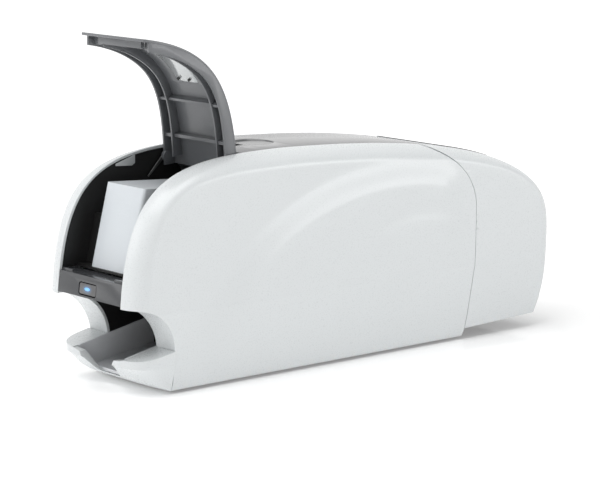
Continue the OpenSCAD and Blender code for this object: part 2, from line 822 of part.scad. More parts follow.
latch_y = -90;
latch_w = 22;
latch_l = 9;
module top_cover() {
  color(dark)
    difference() {
      union() {
        along_x(-top_x, top_x)
          polygon(concat(top_band(top_front, top_rear, 0), reversed(top_band(top_front, top_rear,
            wall))));
        // Hinge lugs
        both_sides()
          along_x(frame_in - 5.5, frame_in - 1)
            polygon([[hinge2_y - 5, hinge2_z - 5], [hinge2_y + 2, hinge2_z - 5],
              [top_rear - 1, body_h - 17],
              [top_rear - 1, cubic(tail_curve(wall), tail_t(top_rear - 1, wall))[1] + 0.5],
              [hinge2_y - 12, cubic(tail_curve(wall), tail_t(hinge2_y - 12, wall))[1] + 0.5]]);
      }
      both_sides() rod_x(frame_in - 7, frame_in, hinge2_r + run, hinge2_y, hinge2_z);
      box([-latch_w / 2 - 0.5, latch_y - latch_l / 2 - 0.5, body_h - 14],
        [latch_w / 2 + 0.5, latch_y + latch_l / 2 + 3.5, body_h + 1]);
    }
}

module cover_latch() {
  color(black) {
    box([-latch_w / 2, latch_y - latch_l / 2, body_h - 4.2],
      [latch_w / 2, latch_y + latch_l / 2, body_h - 1.4]);
  }
}

module top_hinge_pins() {
  color(steel)
    both_sides() rod_x(frame_in - 6.5, frame_in + frame_t, hinge2_r, hinge2_y, hinge2_z);
}

// The strip goes on over the rear cover as a thin plate on three of its outline's points
trim_t = 1;
trim_points = [4, 5, 6];
module rear_trim() {
  color(dark)
    along_x(-top_x, top_x)
      polygon(concat([for (i = trim_points) cubic(tail_curve(-trim_t), i / outline_n)],
        reversed([for (i = trim_points) cubic(tail_curve(0), i / outline_n)])));
}

// Height of the top cover's underside
function under(y) = cubic(tail_curve(wall), tail_t(y, wall))[1];

head_x = card_w / 2 + 3;
head_z = path_z + card_t + 0.6;
head_h = 12;
head_half = 7;
sink_h = 22;
spool_y = 40;
spool_z = path_z + 40;
ribbon_x = card_w / 2 + 3;
ribbon_in = ribbon_x + 3;
ribbon_t = 1.6;
core_r = 5;
spool_shaft = 3;
head_top = under(platen_y + head_half) - 0.15;
module print_head() {
  color(black) {
    box([-head_x, platen_y - head_half, head_z + 2], [head_x, platen_y + head_half, head_z + head_h]);
    rod_x(-head_x, head_x, 2, platen_y, head_z + 2);
  }
}
fin_t = 1.4;
fins = 5;
module heat_sink() {
  color(steel) {
    box([-head_x, platen_y - head_half, head_z + head_h],
      [head_x, platen_y + head_half, head_z + head_h + 4]);
    for (i = [0:fins - 1])
      translate([0, platen_y - head_half + i * (2 * head_half - fin_t) / (fins - 1), 0])
        box([-head_x, 0, head_z + head_h + 3], [head_x, fin_t, head_z + head_h + sink_h]);
  }
}
module head_bracket() {
  color(steel)
    both_sides() {
      box([head_x, platen_y - head_half, head_z + 2],
        [head_x + 1.5, platen_y + head_half, head_top]);
      box([head_x - 8, platen_y - head_half, head_top - 1.8],
        [head_x + 1.5, platen_y + head_half, head_top]);
    }
}
module ribbon_frame() {
  color(grey)
    difference() {
      both_sides()
        along_x(ribbon_in, ribbon_in + ribbon_t) {
          translate([platen_y - spool_y - 10, spool_z - 10]) square([2 * spool_y + 20, 40]);
          translate([platen_y - 12, spool_z]) square([24, under(platen_y + 12) - spool_z]);
        }
      for (s = [-1, 1]) both_sides()
        rod_x(ribbon_in - 1, ribbon_in + 3, spool_shaft + run, platen_y + s * spool_y, spool_z);
      rod_x(ribbon_in - 1, ribbon_in + 3, motor2_boss + run, platen_y + spool_y, motor2_z);
      both_sides() box([ribbon_in - 1, platen_y - 9, spool_z - 11],
        [ribbon_in + 3, platen_y + 9, spool_z + 8]);
    }
}
motor2_z = spool_z + 22;
small_pulley = 4;
motor2_boss = 4;
big_pulley = 7;
module spool(y, r) {
  rod_x(-ribbon_x, ribbon_x, r, y, spool_z);
  rod_x(-ribbon_in - ribbon_t - 0.6, ribbon_in + ribbon_t + 0.6, spool_shaft, y, spool_z);
}
module supply_spool() {
  color("navy") spool(platen_y - spool_y, ribbon_r);
}
module take_up_spool() {
  color("navy") {
    spool(platen_y + spool_y, ribbon_r - 6);
    rod_x(ribbon_in + ribbon_t, ribbon_in + ribbon_t + 4.4, spool_shaft, platen_y + spool_y, spool_z);
    rod_x(ribbon_in + ribbon_t + 0.4, ribbon_in + ribbon_t + 4.4, big_pulley, platen_y + spool_y,
      spool_z);
  }
}
module ribbon_motor() {
  color(steel)
    difference() {
      union() {
        rod_x(ribbon_in - 26, ribbon_in, 9, platen_y + spool_y, motor2_z);
        rod_x(ribbon_in - 1, ribbon_in + ribbon_t, motor2_boss, platen_y + spool_y, motor2_z);
      }
      rod_x(ribbon_in - 12, ribbon_in + 5, 1.5 + run, platen_y + spool_y, motor2_z);
    }
}
module ribbon_pulley() {
  color(steel) {
    rod_x(ribbon_in - 11, ribbon_in + ribbon_t + 4.4, 1.5, platen_y + spool_y, motor2_z);
    rod_x(ribbon_in + ribbon_t + 0.4, ribbon_in + ribbon_t + 4.4, small_pulley, platen_y + spool_y,
      motor2_z);
  }
}
module ribbon_belt() {
  color(black)
    loop(ribbon_in + ribbon_t + 0.4, [platen_y + spool_y, spool_z], [platen_y + spool_y, motor2_z],
      big_pulley, small_pulley);
}
// ---- Card flipper ----
flip_y = seam_y + 34;
flip_z = path_z + card_t / 2;
disc_x = 36;
disc_t = 2.5;
trunnion_r = 5;
post_x = disc_x + disc_t + 1.2;
post_t = 2;
flip_roll = 7;
flip_span = 26;
step_top = rear_step + 1 + base_t;
module flipper_bracket() {
  color(steel)
    both_sides()
      difference() {
        union() {
          box([post_x, flip_y - 14, step_top], [post_x + post_t, flip_y + 14, flip_z]);
          rod_x(post_x, post_x + post_t, 14, flip_y, flip_z);
          box([post_x - 8, flip_y - 14, step_top], [post_x + post_t, flip_y + 14, step_top + 1.5]);
        }
        rod_x(post_x - 1, post_x + post_t + 1, trunnion_r + run, flip_y, flip_z);
      }
}
module flipper_drum() {
  color(grey) {
    difference() {
      both_sides() rod_x(disc_x, disc_x + disc_t, flip_r, flip_y, flip_z);
      for (s = [-1, 1]) both_sides()
        rod_x(disc_x - 1, disc_x + disc_t + 1, idler_shaft + run, flip_y + s * flip_span,
          path_z - flip_roll);
    }
    both_sides() rod_x(disc_x, post_x + post_t + 2, trunnion_r, flip_y, flip_z);
    for (s = [-1, 1])
      box([-disc_x, flip_y - 16, flip_z + s * 4 - 1], [disc_x, flip_y + 16, flip_z + s * 4 + 1]);
  }
}
module flipper_roller(s) {
  rod_x(-roll_x, roll_x, flip_roll, flip_y + s * flip_span, path_z - flip_roll);
  rod_x(-disc_x - disc_t, disc_x + disc_t, idler_shaft, flip_y + s * flip_span, path_z - flip_roll);
}
module flipper_roller_front() {
  color(dark) flipper_roller(-1);
}
module flipper_roller_rear() {
  color(dark) flipper_roller(1);
}
module flipper_motor() {
  color(steel)
    mirror([1, 0, 0])
      difference() {
        rod_x(post_x + post_t, post_x + post_t + 12, 17, flip_y, flip_z);
        rod_x(post_x, post_x + post_t + 4, trunnion_r + 0.4, flip_y, flip_z);
      }
}

// ---- Electronics and rear sockets ----
board_x = frame_in + frame_t + 6;
board_t = 1.6;
board_y = [clean_y + 100, clean_y + 215];
board_z = [frame_foot + 6, 80];
module main_board() {
  color("darkgreen") {
    box([-board_x - board_t, board_y[0], board_z[0]], [-board_x, board_y[1], board_z[1]]);
    for (y = board_y) for (z = board_z)
      rod_x(-board_x, -frame_in - frame_t, 2.5, y + (y == board_y[0] ? 5 : -5),
        z + (z == board_z[0] ? 5 : -5));
  }
}
// Flat parts on the board: from and to along, from and to up, height off the board
chips = [[50, 70, 25, 45, 1.6], [90, 104, 17, 29, 1.4], [85, 107, 47, 53, 4.5]];
can_r = 4;
can_h = 4.5;
can_y = 16;
can_z = 12;
can_step = 10;
module board_parts() {
  color(black)
    translate([-board_x - board_t, board_y[0], board_z[0]]) {
      for (chip = chips)
        box([-chip[4], chip[0], chip[2]], [0, chip[1], chip[3]]);
      for (i = [0:3]) rod_x(-can_h, 0, can_r, can_y + can_step * i, can_z);
    }
}
fan_y = clean_y + 75;
fan_z = 42;
fan_w = 36;
fan_x = frame_in + frame_t;
module fan_frame() {
  color(black)
    mirror([1, 0, 0])
      difference() {
        union() {
          difference() {
            box([fan_x, fan_y - fan_w / 2, fan_z - fan_w / 2],
              [fan_x + 10, fan_y + fan_w / 2, fan_z + fan_w / 2]);
            rod_x(fan_x - 1, fan_x + 11, fan_w / 2 - 1.5, fan_y, fan_z);
          }
          rod_x(fan_x, fan_x + 2.4, 6, fan_y, fan_z);
          box([fan_x, fan_y - fan_w / 2, fan_z - 1.5], [fan_x + 1.4, fan_y + fan_w / 2, fan_z + 1.5]);
          box([fan_x, fan_y - 1.5, fan_z - fan_w / 2], [fan_x + 1.4, fan_y + 1.5, fan_z + fan_w / 2]);
        }
        rod_x(fan_x - 1, fan_x + 4, 1.5 + run, fan_y, fan_z);
      }
}
module fan_rotor() {
  color(dark)
    mirror([1, 0, 0]) {
      rod_x(fan_x + 0.2, fan_x + 4, 1.5, fan_y, fan_z);
      rod_x(fan_x + 3, fan_x + 9, 7, fan_y, fan_z);
      for (a = [0:51.43:309])
        translate([fan_x + 3.5, fan_y, fan_z])
          rotate([a, 0, 0])
            translate([0, -0.6, 5]) cube([5, 1.2, fan_w / 2 - 7.3]);
    }
}

inlet_x = 38;
socket_z = 30;
usb_x = 14;
lan_x = -8;
switch_x = -36;
switch_w = 20;
switch_h = 13;
socket_deep = 14;
socket_y = half - 9;
inlet_w = 12;
inlet_r = 3.2;
usb_w = 12;
usb_h = 11;
lan_w = 16;
lan_h = 14;
socket_fit = 0.3;
socket_wall = 1.6;
module socket_cut(x, w, h) {
  box([x - w / 2 - socket_fit, socket_y - 12, socket_z - h / 2 - socket_fit],
    [x + w / 2 + socket_fit, half + 1, socket_z + h / 2 + socket_fit]);
}
// Block of a socket, its face just inside the rear cover
module socket_block(x, w, h) {
  box([x - w / 2, socket_y - socket_deep, socket_z - h / 2], [x + w / 2, socket_y - 0.2, socket_z + h / 2]);
}
module socket_hollow(x, w, h) {
  box([x - w / 2, socket_y - socket_deep + 2, socket_z - h / 2], [x + w / 2, socket_y, socket_z + h / 2]);
}
module power_inlet() {
  color(black)
    difference() {
      socket_block(inlet_x, inlet_w, inlet_w);
      translate([inlet_x, socket_y + 1, socket_z])
        rotate([90, 0, 0])
          difference() {
            cylinder(r = inlet_r, h = socket_deep - 2);
            cylinder(r = 1, h = socket_deep);
          }
    }
}
module data_ports() {
  color(steel)
    difference() {
      union() {
        socket_block(usb_x, usb_w, usb_h);
        socket_block(lan_x, lan_w, lan_h);
      }
      socket_hollow(usb_x, usb_w - 2 * socket_wall, usb_h - 2 * socket_wall + 0.2);
      socket_hollow(lan_x, lan_w - 2 * socket_wall - 0.8, lan_h - 2 * socket_wall - 2.8);
    }
}
pivot_r = 1.5;
module switch_frame() {
  color(black)
    difference() {
      socket_block(switch_x, switch_w, switch_h);
      box([switch_x - switch_w / 2 + 1.5, socket_y - socket_deep + 1.5, socket_z - switch_h / 2 + 1.2],
        [switch_x + switch_w / 2 - 1.5, socket_y, socket_z + switch_h / 2 - 1.2]);
      rod_x(switch_x - switch_w, switch_x + switch_w, pivot_r + run, socket_y - 5, socket_z);
    }
}
module power_switch() {
  color(black) {
    rod_x(switch_x - switch_w / 2 + 0.2, switch_x + switch_w / 2 - 0.2, pivot_r, socket_y - 5,
      socket_z);
    along_x(switch_x - switch_w / 2 + 2, switch_x + switch_w / 2 - 2)
      polygon([[socket_y - 7, socket_z - 3], [socket_y - 1.6, socket_z - 4.4],
        [socket_y + 0.2, socket_z - 4],
        [socket_y - 1.6, socket_z], [socket_y - 1.4, socket_z + 4.2], [socket_y - 7, socket_z + 3]]);
  }
}

right_side_cover();
left_side_cover();
rear_cover();
rear_trim();
top_cover();
cover_latch();
hopper_cover();
hopper_window();
hopper_hinge_pins();
front_panel();
power_button();
button_light();
output_tray();
tray_liner();
output_chute();
base_chassis();
rubber_feet();
hopper_bin();
card_stack();
left_frame();
right_frame();
frame_rods();
frame_screws();
roller_bushes();
pick_roller();
cleaning_roller();
front_feed_roller();
platen_roller();
rear_feed_roller();
cleaning_idler();
front_idler();
rear_idler();
feed_belt();
drive_belt();
main_motor();
motor_pulley();
divert_gate();
print_head();
heat_sink();
head_bracket();
ribbon_frame();
supply_spool();
take_up_spool();
ribbon_motor();
ribbon_pulley();
ribbon_belt();
top_hinge_pins();
flipper_bracket();
flipper_drum();
flipper_roller_front();
flipper_roller_rear();
flipper_motor();
main_board();
board_parts();
fan_frame();
fan_rotor();
power_inlet();
data_ports();
switch_frame();
power_switch();
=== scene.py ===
import math

import bmesh
import bpy
from mathutils import Matrix, Vector, noise


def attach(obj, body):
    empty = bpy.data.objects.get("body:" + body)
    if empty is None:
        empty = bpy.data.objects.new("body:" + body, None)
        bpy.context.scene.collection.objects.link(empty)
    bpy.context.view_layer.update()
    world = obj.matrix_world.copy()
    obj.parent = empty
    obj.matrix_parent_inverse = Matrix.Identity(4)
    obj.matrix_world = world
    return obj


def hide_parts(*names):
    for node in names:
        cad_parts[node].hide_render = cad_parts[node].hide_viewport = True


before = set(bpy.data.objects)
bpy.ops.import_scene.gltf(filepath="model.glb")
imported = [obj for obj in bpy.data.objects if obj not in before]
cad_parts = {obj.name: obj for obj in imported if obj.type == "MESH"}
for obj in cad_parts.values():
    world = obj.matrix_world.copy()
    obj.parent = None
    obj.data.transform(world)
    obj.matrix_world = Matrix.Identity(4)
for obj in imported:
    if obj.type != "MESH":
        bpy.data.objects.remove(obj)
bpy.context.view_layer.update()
MM = 0.001

# --- Table and light -----------------------------------------------------------------
# The printer stands on a polished white table that gives a faint mirror image of it. Soft
# lamps light it from above, from low behind its right-hand side and from the front left.


class Socket:
    """A shader value that can be used in arithmetic."""

    def __init__(self, shading, link):
        self.shading = shading
        self.link = link

    def maths(self, operation, *values):
        return self.shading.node("ShaderNodeMath", {"operation": operation}, *values)

    def __add__(self, other):
        return self.maths("ADD", self, other)

    def __sub__(self, other):
        return self.maths("SUBTRACT", self, other)

    def __mul__(self, other):
        return self.maths("MULTIPLY", self, other)

    def __radd__(self, other):
        return self.maths("ADD", other, self)

    def __rsub__(self, other):
        return self.maths("SUBTRACT", other, self)

    def __rmul__(self, other):
        return self.maths("MULTIPLY", other, self)

    def at_least(self, other):
        return self.maths("MAXIMUM", self, other)

    def at_most(self, other):
        return self.maths("MINIMUM", self, other)


class Shading:
    """A tree of shader nodes, and the one way to add nodes to it."""

    def __init__(self, tree):
        self.tree = tree

    def join(self, place, value):
        """Fill an input with a constant or with what another node gives."""
        if isinstance(value, Socket):
            self.tree.links.new(value.link, place)
        else:
            place.default_value = value

    def node(self, kind, settings, *values, out=0, at=None, **named):
        """Add a node; values fill its first inputs, at fills inputs by number, named by name."""
        made = self.tree.nodes.new(kind)
        for key, value in settings.items():
            setattr(made, key, value)
        for i, value in [*enumerate(values), *(at or {}).items()]:
            self.join(made.inputs[i], value)
        for key, value in named.items():
            self.join(made.inputs[key.replace("_", " ")], value)
        return Socket(self, made.outputs[out])


class Material(Shading):
    """A node material made of one Principled shader and what feeds it."""

    def __init__(self, name, **constants):
        self.data = bpy.data.materials.new(name)
        self.data.use_nodes = True
        super().__init__(self.data.node_tree)
        for socket, value in constants.items():
            self.feed(socket.replace("_", " "), value)

    def feed(self, socket, value):
        self.join(self.tree.nodes["Principled BSDF"].inputs[socket], value)

    def place(self):
        """Where on the object the point is, in metres."""
        return self.node("ShaderNodeTexCoord", {}, out="Object")

    def noise(self, scale, detail):
        """Soft noise of 0 to 1; scale is in waves per metre."""
        return self.node(
            "ShaderNodeTexNoise", {}, Vector=self.place(), Scale=scale, Detail=detail)

    def mix(self, factor, low, high):
        """Blend of two colours."""
        colours = {"data_type": "RGBA"}
        return self.node("ShaderNodeMix", colours, out=2, at={0: factor, 6: low, 7: high})

    def bump(self, height, distance):
        bumpy = self.node("ShaderNodeBump", {}, Strength=1.0, Distance=distance, Height=height)
        self.feed("Normal", bumpy)


FULL_LEVEL = 255
GAMMA = 2.2


def grey(level, tint=(1.0, 1.0, 1.0)):
    """A colour of one display level, 0 to 255, with a slight tint."""
    base = (level / FULL_LEVEL) ** GAMMA
    return (base * tint[0], base * tint[1], base * tint[2], 1.0)


def finish(piece, material):
    piece.data.materials.clear()
    piece.data.materials.append(material.data)


def as_object(mesh, name):
    data = bpy.data.meshes.new(name)
    mesh.to_mesh(data)
    mesh.free()
    made = bpy.data.objects.new(name, data)
    bpy.context.scene.collection.objects.link(made)
    return made


WHITE = (1.0, 1.0, 1.0, 1.0)
COOL = (0.965, 1.0, 1.01)
TABLE_REACH = 6.0
TABLE_WHITE = grey(250)
MIRROR_SHARE = 0.10
MIRROR_BLUR = 0.09
GLOW = 0.24
FAR_GLOW = (3.4, 3.4, 3.4, 1.0)
GLOW_FROM = 0.4
GLOW_RISE = 0.7
SKY_LEVEL = 0.36

floor_mesh = bmesh.new()
bmesh.ops.create_grid(floor_mesh, x_segments=1, y_segments=1, size=TABLE_REACH)
table = as_object(floor_mesh, "table")

# The glow grows with the distance from the printer, so that the table stays white out to
# its horizon, where the lamps no longer reach it.
table_top = Material("table_white")
outward = table_top.node(
    "ShaderNodeVectorMath", {"operation": "LENGTH"}, table_top.place(), out="Value")
far_off = ((outward - GLOW_FROM) * GLOW_RISE).at_least(0.0).at_most(1.0)
glow_colour = table_top.mix(far_off, TABLE_WHITE, FAR_GLOW)
glow = table_top.node("ShaderNodeEmission", {}, Color=glow_colour, Strength=GLOW)
matt = table_top.node("ShaderNodeBsdfDiffuse", {}, Color=TABLE_WHITE)
lit = table_top.node("ShaderNodeAddShader", {}, matt, glow)
gloss = table_top.node("ShaderNodeBsdfGlossy", {}, Color=WHITE, Roughness=MIRROR_BLUR)
sheen = table_top.node("ShaderNodeMixShader", {}, MIRROR_SHARE, lit, gloss)
table_top.join(table_top.tree.nodes["Material Output"].inputs["Surface"], sheen)
finish(table, table_top)

world = bpy.data.worlds.new("studio")
world.use_nodes = True
bpy.context.scene.world = world
studio = Shading(world.node_tree)
sky = studio.node("ShaderNodeBackground", {}, Color=WHITE, Strength=SKY_LEVEL)
plain = studio.node("ShaderNodeBackground", {}, Color=WHITE, Strength=1.0)
seen = studio.node("ShaderNodeLightPath", {}, out="Is Camera Ray")
mirrored_ray = studio.node("ShaderNodeLightPath", {}, out="Is Glossy Ray")
backdrop = studio.node("ShaderNodeMixShader", {}, seen.at_least(mirrored_ray), sky, plain)
studio.join(studio.tree.nodes["World Output"].inputs["Surface"], backdrop)


def lamp(name, place, aim, size, power):
    """A soft oblong lamp; its place, aim and size are in metres and its power is in watts."""
    data = bpy.data.lights.new(name, "AREA")
    data.shape = "RECTANGLE"
    data.size, data.size_y = size
    data.energy = power
    made = bpy.data.objects.new(name, data)
    made.location = place
    made.rotation_euler = (Vector(aim) - Vector(place)).to_track_quat("-Z", "Y").to_euler()
    bpy.context.scene.collection.objects.link(made)


lamp("overhead", place=(0.0, -0.5, 1.55), aim=(0.0, 0.0, 0.1), size=(1.6, 1.6), power=21.5)
lamp("right_hand", place=(1.6, 1.3, 0.4), aim=(0.0, 0.0, 0.1), size=(1.2, 0.5), power=7)
lamp("front", place=(-0.9, -1.6, 0.8), aim=(0.0, -0.1, 0.1), size=(1.2, 0.8), power=4.5)

# --- Camera --------------------------------------------------------------------------
# A long lens from the front right, slightly above the printer. Its place is in metres. Its
# bearing is measured from straight ahead of the nose round toward the right-hand side.

LENS = 142.3
SENSOR = 36.0
CAMERA_PLACE = (1.58551, -1.34527, 0.46682)
BEARING = math.radians(49.961)
RISE = math.radians(10.008)
CAMERA_REACH = 20

camera_data = bpy.data.cameras.new("camera")
camera_data.lens = LENS
camera_data.sensor_width = SENSOR
camera_data.clip_end = CAMERA_REACH
camera = bpy.data.objects.new("camera", camera_data)
camera.location = CAMERA_PLACE
back = Vector((math.cos(RISE) * math.sin(BEARING), -math.cos(RISE) * math.cos(BEARING),
               math.sin(RISE)))
camera.rotation_euler = (-back).to_track_quat("-Z", "Y").to_euler()
bpy.context.scene.collection.objects.link(camera)
bpy.context.scene.camera = camera
bpy.context.scene.view_settings.view_transform = "Standard"

# --- Base and feet -------------------------------------------------------------------
# A black moulded base plate carries everything, on four rubber feet.
# The plate and the feet keep their CAD shapes and get their finishes here.

CLOUDS_PER_M = 14.0
GRAINS_PER_M = 900.0
ROUGH_SPREAD = 0.03
COAT_ROUGHNESS = 0.12


def moulded(name, colour, roughness=0.45, grain=0.04, coat=0.0, metallic=0.0, shade=0.06):
    """Moulded plastic or plain metal: fine grain, in mm, and slight unevenness of colour."""
    made = Material(name, Metallic=metallic, Coat_Weight=coat, Coat_Roughness=COAT_ROUGHNESS)
    cloudy = made.noise(CLOUDS_PER_M, 3.0)
    darker = tuple(part * (1.0 - shade) for part in colour[:3]) + (1.0,)
    lighter = tuple(min(1.0, part * (1.0 + shade)) for part in colour[:3]) + (1.0,)
    made.feed("Base Color", made.mix(cloudy, darker, lighter))
    fine = made.noise(GRAINS_PER_M, 2.0)
    made.feed("Roughness", (roughness - ROUGH_SPREAD) + 2 * ROUGH_SPREAD * fine)
    made.bump(fine, grain * MM)
    return made


def dress(node, material):
    finish(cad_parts[node], material)


black_plastic = moulded("black_plastic", grey(28), roughness=0.42)
dress("base_chassis", black_plastic)

foot_rubber = moulded("foot_rubber", grey(30), roughness=0.85, grain=0.1)
dress("rubber_feet", foot_rubber)

# --- Side covers ---------------------------------------------------------------------
# Two white moulded shells, left and right, with a soft edge all round and a broad curved
# swell on the flat of each side. They end in a round bay over the tray at the front.

HALF = 242 * MM
TOP = 194 * MM
FOOT_Z = 3 * MM
NOSE_Z = 72 * MM
NOSE_BACK = 8 * MM
NOSE_RISE = 0.91
NOSE_REACH = 0.70
TAIL_Z = 95 * MM
TAIL_REACH = 0.925
TAIL_RISE = 0.405
TAIL_TUCK = 20 * MM
TAIL_TUCK_POWER = 2.6
CROWN_Y = -72 * MM
CROWN_DROP = 6.6 * MM
STRIP_X = 45 * MM
WAIST_X = 66 * MM
WAIST_Z = 70 * MM
FOOT_X = 56.5 * MM
FLAT_MIDDLE = (40 * MM, 85 * MM)
EDGE = 15 * MM
WALL = 2.5 * MM
SEAM_Y = 137 * MM
SEAM_R = 34 * MM
BAY_Y = -HALF + 2 * MM
BAY_Z = 34 * MM
BAY_R = 42 * MM
CHANNEL_X = 35 * MM
PANEL_Z = 77.8 * MM
RELIEF_FROM_X = STRIP_X + 5 * MM
FAR = 90 * MM
PAST = 20 * MM
MARGIN = 10 * MM
OVER = 1 * MM
MERGE = 0.02 * MM


def cubic(points, t):
    u = 1 - t
    return (points[0] * u**3 + points[1] * 3 * u * u * t + points[2] * 3 * u * t * t
            + points[3] * t**3)


def curve_of(places, steps):
    """Points in metres along the cubic curve through four places given in millimetres."""
    points = [Vector(place) * MM for place in places]
    return [cubic(points, i / steps) for i in range(steps + 1)]


def nose_curve(inset):
    front = -HALF + inset
    return [Vector((front, NOSE_Z)),
            Vector((front + NOSE_BACK, NOSE_Z + (TOP - NOSE_Z) * NOSE_RISE)),
            Vector((CROWN_Y - (HALF + CROWN_Y) * NOSE_REACH, TOP - inset)),
            Vector((CROWN_Y, TOP - inset))]


def tail_curve(inset):
    rear = HALF - inset
    return [Vector((CROWN_Y, TOP - inset)),
            Vector((CROWN_Y + (HALF - CROWN_Y) * TAIL_REACH, TOP - CROWN_DROP - inset)),
            Vector((rear, TAIL_Z + (TOP - TAIL_Z) * TAIL_RISE)),
            Vector((rear, TAIL_Z))]


def tail_in(z):
    return TAIL_TUCK * (max(0.0, TAIL_Z - z) / (TAIL_Z - FOOT_Z)) ** TAIL_TUCK_POWER


def smooth_step(low, high, value):
    t = min(1.0, max(0.0, (value - low) / (high - low)))
    return t * t * (3 - 2 * t)


def section(x, inset, low, steps, front_steps=4):
    """Closed outline of the body at one place across, from the nose's foot round to it again."""
    points = [cubic(nose_curve(inset), i / steps) for i in range(steps)]
    points += [cubic(tail_curve(inset), i / steps) for i in range(steps)]
    for i in range(steps // 2):
        z = TAIL_Z + (low - TAIL_Z) * i / (steps // 2)
        points.append(Vector((HALF - inset - tail_in(z), z)))
    rear_foot = Vector((HALF - inset - tail_in(low), low))
    front_foot = Vector((-HALF + inset, low))
    points += [rear_foot.lerp(front_foot, i / steps) for i in range(steps)]
    for i in range(front_steps):
        points.append(Vector((front_foot.x, low + (NOSE_Z - low) * i / front_steps)))
    return [Vector((x, point.x, point.y)) for point in points]


def body_side(start_x, inward, steps, turn_steps, flat_steps, relief=None):
    """Right-hand side of the body as a closed mesh, its skin moved inward."""
    mesh = bmesh.new()
    rings = []

    def add_ring(points):
        rings.append([mesh.verts.new(point) for point in points])

    def low_at(x):
        lean = max(0.0, x - FOOT_X) / (WAIST_X - FOOT_X)
        return FOOT_Z + lean * (WAIST_Z - FOOT_Z) - (OVER if inward else 0)

    if start_x < STRIP_X - inward:
        add_ring(section(start_x, inward, low_at(STRIP_X), steps))
    for i in range(turn_steps + 1):
        angle = math.pi / 2 * i / turn_steps
        x = STRIP_X + (WAIST_X - STRIP_X) * math.sin(angle)
        inset = EDGE * (1 - math.cos(angle)) + inward
        add_ring(section(x - inward, inset, low_at(x), steps))
    outer = [vertex.co.copy() for vertex in rings[-1]]
    for i in range(1, flat_steps + 1):
        share = i / (flat_steps + 0.5)
        add_ring([point.lerp(Vector((point.x, *FLAT_MIDDLE)), share) for point in outer])
    count = len(outer)
    for near, far in zip(rings, rings[1:]):
        for i in range(count):
            j = (i + 1) % count
            mesh.faces.new((near[i], near[j], far[j], far[i]))
    mesh.faces.new(rings[0])
    mesh.faces.new(list(reversed(rings[-1])))
    bmesh.ops.remove_doubles(mesh, verts=mesh.verts, dist=MERGE)
    if relief:
        for vertex in mesh.verts:
            if vertex.co.x > RELIEF_FROM_X:
                vertex.co.x += relief(vertex.co.y, vertex.co.z)
    bmesh.ops.recalc_face_normals(mesh, faces=mesh.faces)
    return mesh


def drum(radius, depth, matrix, segments=96, far_radius=None):
    """A round bar about the matrix's own z, tapered where its far radius is given."""
    mesh = bmesh.new()
    bmesh.ops.create_cone(mesh, cap_ends=True, segments=segments, radius1=radius,
                          radius2=far_radius or radius, depth=depth, matrix=matrix)
    return mesh


def rod(x0, x1, radius, y, z, segments=96):
    """A round bar lying straight across."""
    middle = Matrix.Translation(((x0 + x1) / 2, y, z))
    return drum(radius, x1 - x0, middle @ Matrix.Rotation(math.pi / 2, 4, "Y"), segments)


def block(low, high):
    mesh = bmesh.new()
    size = [b - a for a, b in zip(low, high)]
    middle = Matrix.Translation([(a + b) / 2 for a, b in zip(low, high)])
    bmesh.ops.create_cube(mesh, size=1.0, matrix=middle @ Matrix.Diagonal((*size, 1.0)))
    return mesh


def draw_out(mesh, faces, move):
    """Draw flat faces out along a vector and close the solid."""
    drawn = bmesh.ops.extrude_face_region(mesh, geom=faces)
    moved = [item for item in drawn["geom"] if isinstance(item, bmesh.types.BMVert)]
    bmesh.ops.translate(mesh, verts=moved, vec=move)


def prism(corners, move):
    mesh = bmesh.new()
    draw_out(mesh, [mesh.faces.new([mesh.verts.new(corner) for corner in corners])], move)
    bmesh.ops.recalc_face_normals(mesh, faces=mesh.faces)
    return mesh


def slab(outline, x0, x1):
    """A side view of (y, z) points drawn out across from x0 to x1."""
    return prism([(x0, y, z) for y, z in outline], (x1 - x0, 0, 0))


def in_mm(*places):
    """Places given in millimetres, in metres."""
    return [tuple(part * MM for part in place) for place in places]


def apply_modifiers(piece):
    depsgraph = bpy.context.evaluated_depsgraph_get()
    data = bpy.data.meshes.new_from_object(piece.evaluated_get(depsgraph))
    piece.modifiers.clear()
    piece.data = data


def carve(piece, operation, *tools):
    """Join or cut a piece with other meshes, which are used up."""
    for mesh in tools:
        tool = mesh if isinstance(mesh, bpy.types.Object) else as_object(mesh, "tool")
        step = piece.modifiers.new("carve", "BOOLEAN")
        step.operation = operation
        step.solver = "EXACT"
        step.object = tool
        apply_modifiers(piece)
        bpy.data.objects.remove(tool)


def soften(piece, width, segments=3, angle=32, smooth=40):
    """Round the sharp edges a little and shade the rest smooth."""
    if width:
        step = piece.modifiers.new("soften", "BEVEL")
        step.width = width
        step.segments = segments
        step.limit_method = "ANGLE"
        step.angle_limit = math.radians(angle)
        step.use_clamp_overlap = True
        apply_modifiers(piece)
    mesh = bmesh.new()
    mesh.from_mesh(piece.data)
    for face in mesh.faces:
        face.smooth = True
    for edge in mesh.edges:
        bend = edge.calc_face_angle() if len(edge.link_faces) == 2 else math.pi
        edge.smooth = bend < math.radians(smooth)
    mesh.to_mesh(piece.data)
    mesh.free()


def swell(middle, half_length, height, dip, crest, widths, y, z):
    """Height beside an arc on the flat: a dip before it, a quick rise past it, a slow fall."""
    before, rise, fall = widths
    reach = math.hypot((y - middle[0]) / half_length, (z - middle[1]) / height)
    inside = (1 - reach) * height
    return ((dip + crest) * smooth_step(0, rise, inside) - dip * smooth_step(-before, 0, inside)
            - crest * smooth_step(rise, fall, inside))


